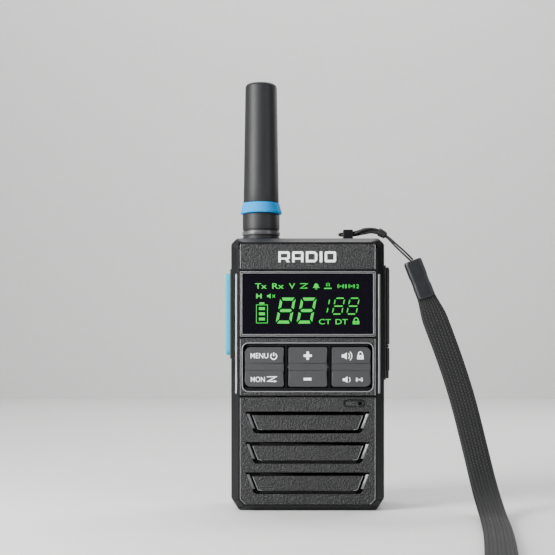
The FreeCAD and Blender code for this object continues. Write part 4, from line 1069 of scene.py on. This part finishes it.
def panelMarks():
    look, thick = panelLook, panelLook["micThick"]
    joinMarks("topWord", flatMeshes(blockWord(*look["word"]), look["wordThick"]),
              frontFace - look["wordThick"] * mm, "whitePrint", "casing", "panel_plastic")
    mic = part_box("microphone")
    middle, level = (mic[0].x + mic[1].x) / 2 / mm, (mic[0].z + mic[1].z) / 2 / mm

    def aboutMic(left, low, right, high, *radius):
        return middle + left, level + low, middle + right, level + high, *radius
    word = wordMesh("word", "MIC", aboutMic(*look["micWord"]), thick, look["bold"])
    joinMarks("micWord", [word], frontFace + look["wordDepth"] * mm, "dimPrint", "casing", "panel_plastic")
    # a near-black disc in the microphone hole, painted shade, and a near-black outline round the dish
    disc = dotLoop(middle, level, look["hole"], 24)
    pill = [roundedLoop(*aboutMic(*box)) for box in look["pill"]]
    joinMarks("micHoleShadeAndOutline", flatMeshes([[disc], pill], thick), frontFace + look["holeDepth"] * mm, "hole",
              "casing", "panel_plastic")


displayMarks()
keyMarks()
panelMarks()
print("marks printed")


soundBar = {"ringTop": 5.6, "pitch": 11.7, "height": 8.3, "reach": 23.9, "slant": 3.2, "side": 2.1,
            "groove": 1.3, "floor": 0.9, "wide": 1.15, "high": 0.75, "low": 1.9, "edge": 0.06, "round": 0.1}


def ringRows():
    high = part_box("speaker_panel")[1].z / mm
    return [high - soundBar["ringTop"] - row * soundBar["pitch"] for row in range(3)]


def prism(work, corners, backDepth, frontDepths):
    # a block with its front corners at depths of their own, in mm from the fascia
    def corner(across, up, depth):
        return work.verts.new((across * mm, frontFace + depth * mm, up * mm))
    back = [corner(*spot, backDepth) for spot in corners]
    front = [corner(*spot, depth) for spot, depth in zip(corners, frontDepths)]
    work.faces.new(front)
    work.faces.new(back[::-1])
    for side in range(len(corners)):
        after = (side + 1) % len(corners)
        work.faces.new((back[side], back[after], front[after], front[side]))


def bmeshPiece(name, work, finish, rounding=0.0):
    bmesh.ops.recalc_face_normals(work, faces=work.faces)
    piece = workPiece(name + "Raw", work, finish)
    if rounding:
        bevel = piece.modifiers.new("rounding", "BEVEL")
        bevel.width = rounding * mm
        bevel.segments = 2
    return smooth(plainPiece(piece, name), 40)


def buildSoundBars():
    # sloping flanks in the side stretches of each sound ring, painted lighter than the panel as their
    # highlight
    bars = bmesh.new()
    lean = soundBar["slant"] / soundBar["height"]
    for top in ringRows():
        upper, lower = top - soundBar["high"], top - soundBar["height"] + soundBar["low"]
        for sign in (-1, 1):
            outer, inner = [soundBar["reach"] - lean * (top - level) for level in (upper, lower)]
            corners = [(sign * outer, upper), (sign * (outer - soundBar["wide"]), upper),
                       (sign * (inner - soundBar["wide"]), lower), (sign * inner, lower)]
            deep, edge = soundBar["floor"] * 0.75, soundBar["edge"]
            prism(bars, corners, soundBar["floor"] + 0.05, (edge, deep, deep, edge))
    place(bmeshPiece("soundBars", bars, "barGloss", soundBar["round"]), "casing", "panel_plastic")


# radii of the light beads that paint highlights along the edges, how deep they lie, and how far in from the
# edge of their piece
beadLook = {"thin": 0.13, "rim": 0.22, "sides": 8, "depth": 0.04, "edgeDepth": 0.06, "frameInset": 0.16,
            "edgeInset": 0.14, "dishSide": 0.88, "dishLow": 1.92, "dishHigh": 1.62, "chamfer": 1.95}


def beadRing(work, loop, depth, radius, closed=True):
    # a thin round bead along an outline on the front
    count, sides = len(loop), beadLook["sides"]
    rings = []
    for row, (across, up) in enumerate(loop):
        before = loop[row - 1] if closed or row else loop[row]
        after = loop[(row + 1) % count] if closed or row < count - 1 else loop[row]
        way = Vector((after[0] - before[0], 0, after[1] - before[1])).normalized()
        side = way.cross(Vector((0, 1, 0)))
        spot = Vector((across, frontFace / mm + depth, up))
        ring = []
        for part in range(sides):
            angle = 2 * math.pi * part / sides
            point = spot + side * (radius * math.cos(angle)) + Vector((0, radius * math.sin(angle), 0))
            ring.append(work.verts.new(point * mm))
        rings.append(ring)
    for row in range(count if closed else count - 1):
        first, second = rings[row], rings[(row + 1) % count]
        for part in range(sides):
            after = (part + 1) % sides
            work.faces.new((first[part], first[after], second[after], second[part]))
    if not closed:
        work.faces.new(rings[0])
        work.faces.new(rings[-1][::-1])


def flatBox(node, inset):
    low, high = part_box(node)
    return low.x / mm + inset, low.z / mm + inset, high.x / mm - inset, high.z / mm - inset


def buildEdgeHighlights():
    # light grey lines along the edges of the panels, of the window and of the key recess: painted highlights
    # of those edges
    work = bmesh.new()
    look, thin, depth, edgeDepth = beadLook, beadLook["thin"], beadLook["depth"], beadLook["edgeDepth"]
    beadRing(work, roundedLoop(*flatBox("display_frame", look["frameInset"]), 0.3), depth, thin)
    beadRing(work, roundedLoop(*flatBox("display_lens", -look["frameInset"]), 0.5), depth, thin * 1.2)
    left, right = flatBox("keypad_bezel", look["dishSide"])[::2]
    low, high = [corner.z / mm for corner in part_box("rocker_key_left")]
    dish = (left, low - look["dishLow"], right, high + look["dishHigh"])
    beadRing(work, roundedLoop(*dish, 2.4), 0.05, look["rim"])
    for node in ("keypad_bezel", "top_panel"):
        left, low, right, high = flatBox(node, look["edgeInset"])
        for across in (left, right):
            beadRing(work, [(across, low + 0.2), (across, high - 0.2)], edgeDepth, thin, False)
    left, low, right, high = flatBox("speaker_panel", look["edgeInset"])
    for side, inward in ((left, look["chamfer"]), (right, -look["chamfer"])):
        line = [(side, high - 0.2), (side, low + 2.0), (side + inward, low + 0.05)]
        beadRing(work, line, edgeDepth, thin, False)
    lean = soundBar["slant"] / soundBar["height"]
    start = soundBar["reach"] - lean * soundBar["groove"] - soundBar["side"] - 0.12
    drop = soundBar["height"] - 2 * soundBar["groove"] - 0.5
    end = start - lean * drop
    for top in ringRows():
        upper = top - soundBar["groove"] - 0.1
        for sign in (-1, 1):
            line = [(sign * start, upper), (sign * end, upper - drop),
                    (sign * (end - 1.6), upper - drop - 0.3)]
            beadRing(work, line, depth, thin * 0.9, False)
    place(bmeshPiece("edgeBeads", work, "fasciaEdge"), "casing", "panel_plastic")


buildSoundBars()
buildEdgeHighlights()
print("sound rings and edge lines made")


def newGrower(name, inputs):
    # a node group with named inputs; returns it with its maker and its input wires
    group = bpy.data.node_groups.new(name, "GeometryNodeTree")
    for title, kind in inputs.items():
        group.interface.new_socket(title, in_out="INPUT", socket_type="NodeSocket" + kind)
    group.interface.new_socket("Geometry", in_out="OUTPUT", socket_type="NodeSocketGeometry")
    maker = Maker(group)
    entry = group.nodes.new("NodeGroupInput")
    return group, maker, {title: Wire(maker, entry.outputs[title]) for title in inputs}


def endGrower(group, maker, shape, given):
    single = maker.add("GeometryNodeRealizeInstances", None, {"Geometry": shape})
    coloured = maker.add("GeometryNodeSetMaterial", None, {"Geometry": single, "Material": given["Finish"]})
    maker.feed(group.nodes.new("NodeGroupOutput").inputs["Geometry"], coloured)
    return group


def ribGrower():
    # a row of rounded ribs, each thinning out at its ends
    group, maker, given = newGrower("ribRow", {
        "Ribs": "Int", "First End": "Vector", "Other End": "Vector", "Step": "Vector", "Radius": "Float",
        "Finish": "Material"})
    spine = maker.add("GeometryNodeCurvePrimitiveLine", None, {
        "Start": given["First End"], "End": given["Other End"]})
    spine = maker.add("GeometryNodeResampleCurve", None, {"Curve": spine, "Count": 33})
    along = maker.add("GeometryNodeSplineParameter") * 2 - 1
    full = (1.002 - along.join("POWER", 12)).join("POWER", 0.5)
    spine = maker.add("GeometryNodeSetCurveRadius", None, {"Curve": spine, "Radius": full})
    ring = maker.add("GeometryNodeCurvePrimitiveCircle", None, {"Resolution": 14, "Radius": given["Radius"]})
    sockets = {"Curve": spine, "Profile Curve": ring, "Fill Caps": True}
    rib = maker.add("GeometryNodeCurveToMesh", None, sockets)
    if "Scale" in rib.socket.node.inputs:
        maker.feed(rib.socket.node.inputs["Scale"], full)
    rows = maker.add("GeometryNodeMeshLine", None, {"Count": given["Ribs"], "Offset": given["Step"]})
    row = maker.add("GeometryNodeInstanceOnPoints", None, {"Points": rows, "Instance": rib})
    return endGrower(group, maker, row, given)


def coilGrower():
    # round wire wound along X
    group, maker, given = newGrower("coil", {
        "Turns": "Float", "Coil Radius": "Float", "Length": "Float", "Wire Radius": "Float",
        "Start": "Vector", "Finish": "Material"})
    path = maker.add("GeometryNodeCurveSpiral", None, {
        "Resolution": 28, "Rotations": given["Turns"], "Start Radius": given["Coil Radius"],
        "End Radius": given["Coil Radius"], "Height": given["Length"]})
    ring = maker.add("GeometryNodeCurvePrimitiveCircle", None, {
        "Resolution": 12, "Radius": given["Wire Radius"]})
    wire = maker.add("GeometryNodeCurveToMesh", None, {
        "Curve": path, "Profile Curve": ring, "Fill Caps": True})
    wire = maker.add("GeometryNodeTransform", None, {
        "Geometry": wire, "Rotation": (0, math.radians(90), 0), "Translation": given["Start"]})
    return endGrower(group, maker, wire, given)


def grow(name, group, values, finish):
    # one evaluation of the group, kept as a plain mesh
    holder = newObject(name + "Holder", bpy.data.meshes.new(name + "Holder"))
    grower = holder.modifiers.new("grower", "NODES")
    grower.node_group = group
    for item in group.interface.items_tree:
        if item.in_out == "INPUT":
            grower[item.identifier] = finishes[finish] if item.name == "Finish" else values[item.name]
    return smooth(plainPiece(holder, name), 50)


def widestFace(node, way):
    # corners of the largest flat face of a CAD piece that looks along the given way
    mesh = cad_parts[node].data
    levels = {}
    for face in mesh.polygons:
        if face.normal.dot(Vector(way)) > 0.999:
            levels.setdefault(round(face.center.dot(Vector(way)), 5), []).append(face)
    widest = max(levels.values(), key=lambda faces: sum(face.area for face in faces))
    spots = [mesh.vertices[index].co for face in widest for index in face.vertices]
    return [Vector([pick(spot[axis] for spot in spots) for axis in range(3)]) for pick in (min, max)]


coverRibs = {"way": (1, 0, 0), "step": 1.5, "radius": 0.4, "sunk": 0.22, "inset": 1.2, "middle": 0.5,
             "finish": "coverPlastic", "slot": "grey_plastic"}
ribRows = {
    "talkBarRibs": {"node": "ptt_button", "way": (-1, 0, 0), "ribs": 7, "step": 1.7, "radius": 0.42,
                    "sunk": 0.22, "inset": 1.3, "middle": 0.5, "finish": "accent", "body": "talk_bar",
                    "slot": "accent_plastic"},
    "upperCoverRibs": {"node": "port_cover_upper", "ribs": 6, "body": "upper_cover", **coverRibs},
    "lowerCoverRibs": {"node": "port_cover_lower", "ribs": 3, "body": "lower_cover", **coverRibs},
    "beltClipRibs": {"node": "belt_clip", "way": (0, 1, 0), "ribs": 8, "step": 1.6, "radius": 0.45,
                     "sunk": 0.25, "inset": 2.0, "middle": 0.2, "finish": "casing", "body": "clip",
                     "slot": "shell_plastic"},
}


def buildRibs():
    group = ribGrower()
    for name, look in ribRows.items():
        low, high = widestFace(look["node"], look["way"])
        step, inset = look["step"] * mm, look["inset"] * mm
        level = low.z + (high.z - low.z) * look["middle"] - (look["ribs"] - 1) * step / 2
        sunk = Vector(look["way"]) * look["sunk"] * mm
        if look["way"][0]:
            ends = [Vector((low.x, side, level)) - sunk for side in (low.y + inset, high.y - inset)]
        else:
            ends = [Vector((side, low.y, level)) - sunk for side in (low.x + inset, high.x - inset)]
        piece = grow(name, group, {
            "Ribs": look["ribs"], "First End": ends[0], "Other End": ends[1], "Step": (0, 0, step),
            "Radius": look["radius"] * mm}, look["finish"])
        place(piece, look["body"], look["slot"])


packLook = {"ribs": 14, "step": 2.4, "radius": 0.55, "sunk": 0.25, "edge": 3.0, "clip": 13.0, "foot": 16.0}


def packRibs():
    # two columns of grip ribs beside the belt clip
    low, high = widestFace("battery_case", (0, 1, 0))
    group = bpy.data.node_groups["ribRow"]
    work = bmesh.new()
    edge, clip = packLook["edge"] * mm, packLook["clip"] * mm
    depth, level = high.y - packLook["sunk"] * mm, low.z + packLook["foot"] * mm
    for start, stop in ((low.x + edge, -clip), (clip, high.x - edge)):
        column = grow("packColumn", group, {
            "Ribs": packLook["ribs"], "First End": (start, depth, level), "Other End": (stop, depth, level),
            "Step": (0, 0, packLook["step"] * mm), "Radius": packLook["radius"] * mm}, "casing")
        work.from_mesh(column.data)
        bpy.data.objects.remove(column)
    place(bmeshPiece("batteryGripRibs", work, "casing"), "battery", "shell_plastic")


springLook = {"turns": 9.5, "wire": 0.27, "fromPin": 0.04}


def buildSpring():
    low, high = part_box("clip_spring")
    pin = (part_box("clip_pin")[1].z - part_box("clip_pin")[0].z) / 2
    wire = springLook["wire"] * mm
    long = high.x - low.x - 2 * wire
    start = ((low.x + high.x) / 2 - long / 2, (low.y + high.y) / 2, (low.z + high.z) / 2)
    piece = grow("clipSpringCoil", coilGrower(), {
        "Turns": springLook["turns"], "Coil Radius": pin + wire + springLook["fromPin"] * mm,
        "Length": long, "Wire Radius": wire, "Start": start}, "steel")
    place(piece, "battery", "steel", "clip_spring")


crossLook = {"half": 1.15, "arm": 0.22, "thick": 0.02}


def screwCrossShades():
    # near-black crosses on the screw heads on the back: painted shade standing in for their cross recesses
    high = widestFace("case_screws", (0, 1, 0))[1]
    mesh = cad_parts["case_screws"].data
    heads = {}
    for face in mesh.polygons:
        if face.normal.y > 0.999 and abs(face.center.y - high.y) < 0.02 * mm:
            heads.setdefault((round(face.center.x, 2), round(face.center.z, 2)), []).append(face)
    half, arm = crossLook["half"], crossLook["arm"]
    outline, corner = [], [(half, arm), (arm, arm), (arm, half)]
    for quarter in range(4):
        outline += corner
        corner = [(-up, across) for across, up in corner]
    crosses = []
    for faces in heads.values():
        spots = [mesh.vertices[index].co for face in faces for index in face.vertices]
        middle = sum(spots, Vector()) / len(spots) / mm
        loop = [(middle.x + across, middle.z + up) for across, up in outline]
        crosses.append(flatMesh("cross", [loop], crossLook["thick"]))
    print("screw heads found:", len(heads))
    joinMarks("screwCrossShades", crosses, high.y, "hole", "casing", "steel")


buildRibs()
packRibs()
buildSpring()
screwCrossShades()
print("ribs, spring and screw slots grown")


keptFinishes = {
    "softRubber": ("shell_gasket", "key_mat", "accessory_jack", "ptt_switch", "speaker_gasket", "mic_boot"),
    "steel": ("case_screws", "key_axle", "key_domes", "shield_can", "charging_port", "speaker_basket",
              "speaker_magnet", "microphone", "port_hinge_pin", "clip_pin", "clip_screws"),
    "brightStrip": ("side_strip_left", "side_strip_right"),
    "board": ("main_board", "antenna_core"),
    "lens": ("display_module",),
    "cloth": ("speaker_cloth", "speaker_cone"),
    "brass": ("antenna_nut", "battery_contacts", "contact_pins"),
    "wrap": ("battery_cell",),
}
for finish, nodes in keptFinishes.items():
    for node in nodes:
        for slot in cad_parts[node].material_slots:
            slot.material = finishes[finish]
print("kept pieces finished:", sum(len(nodes) for nodes in keptFinishes.values()))
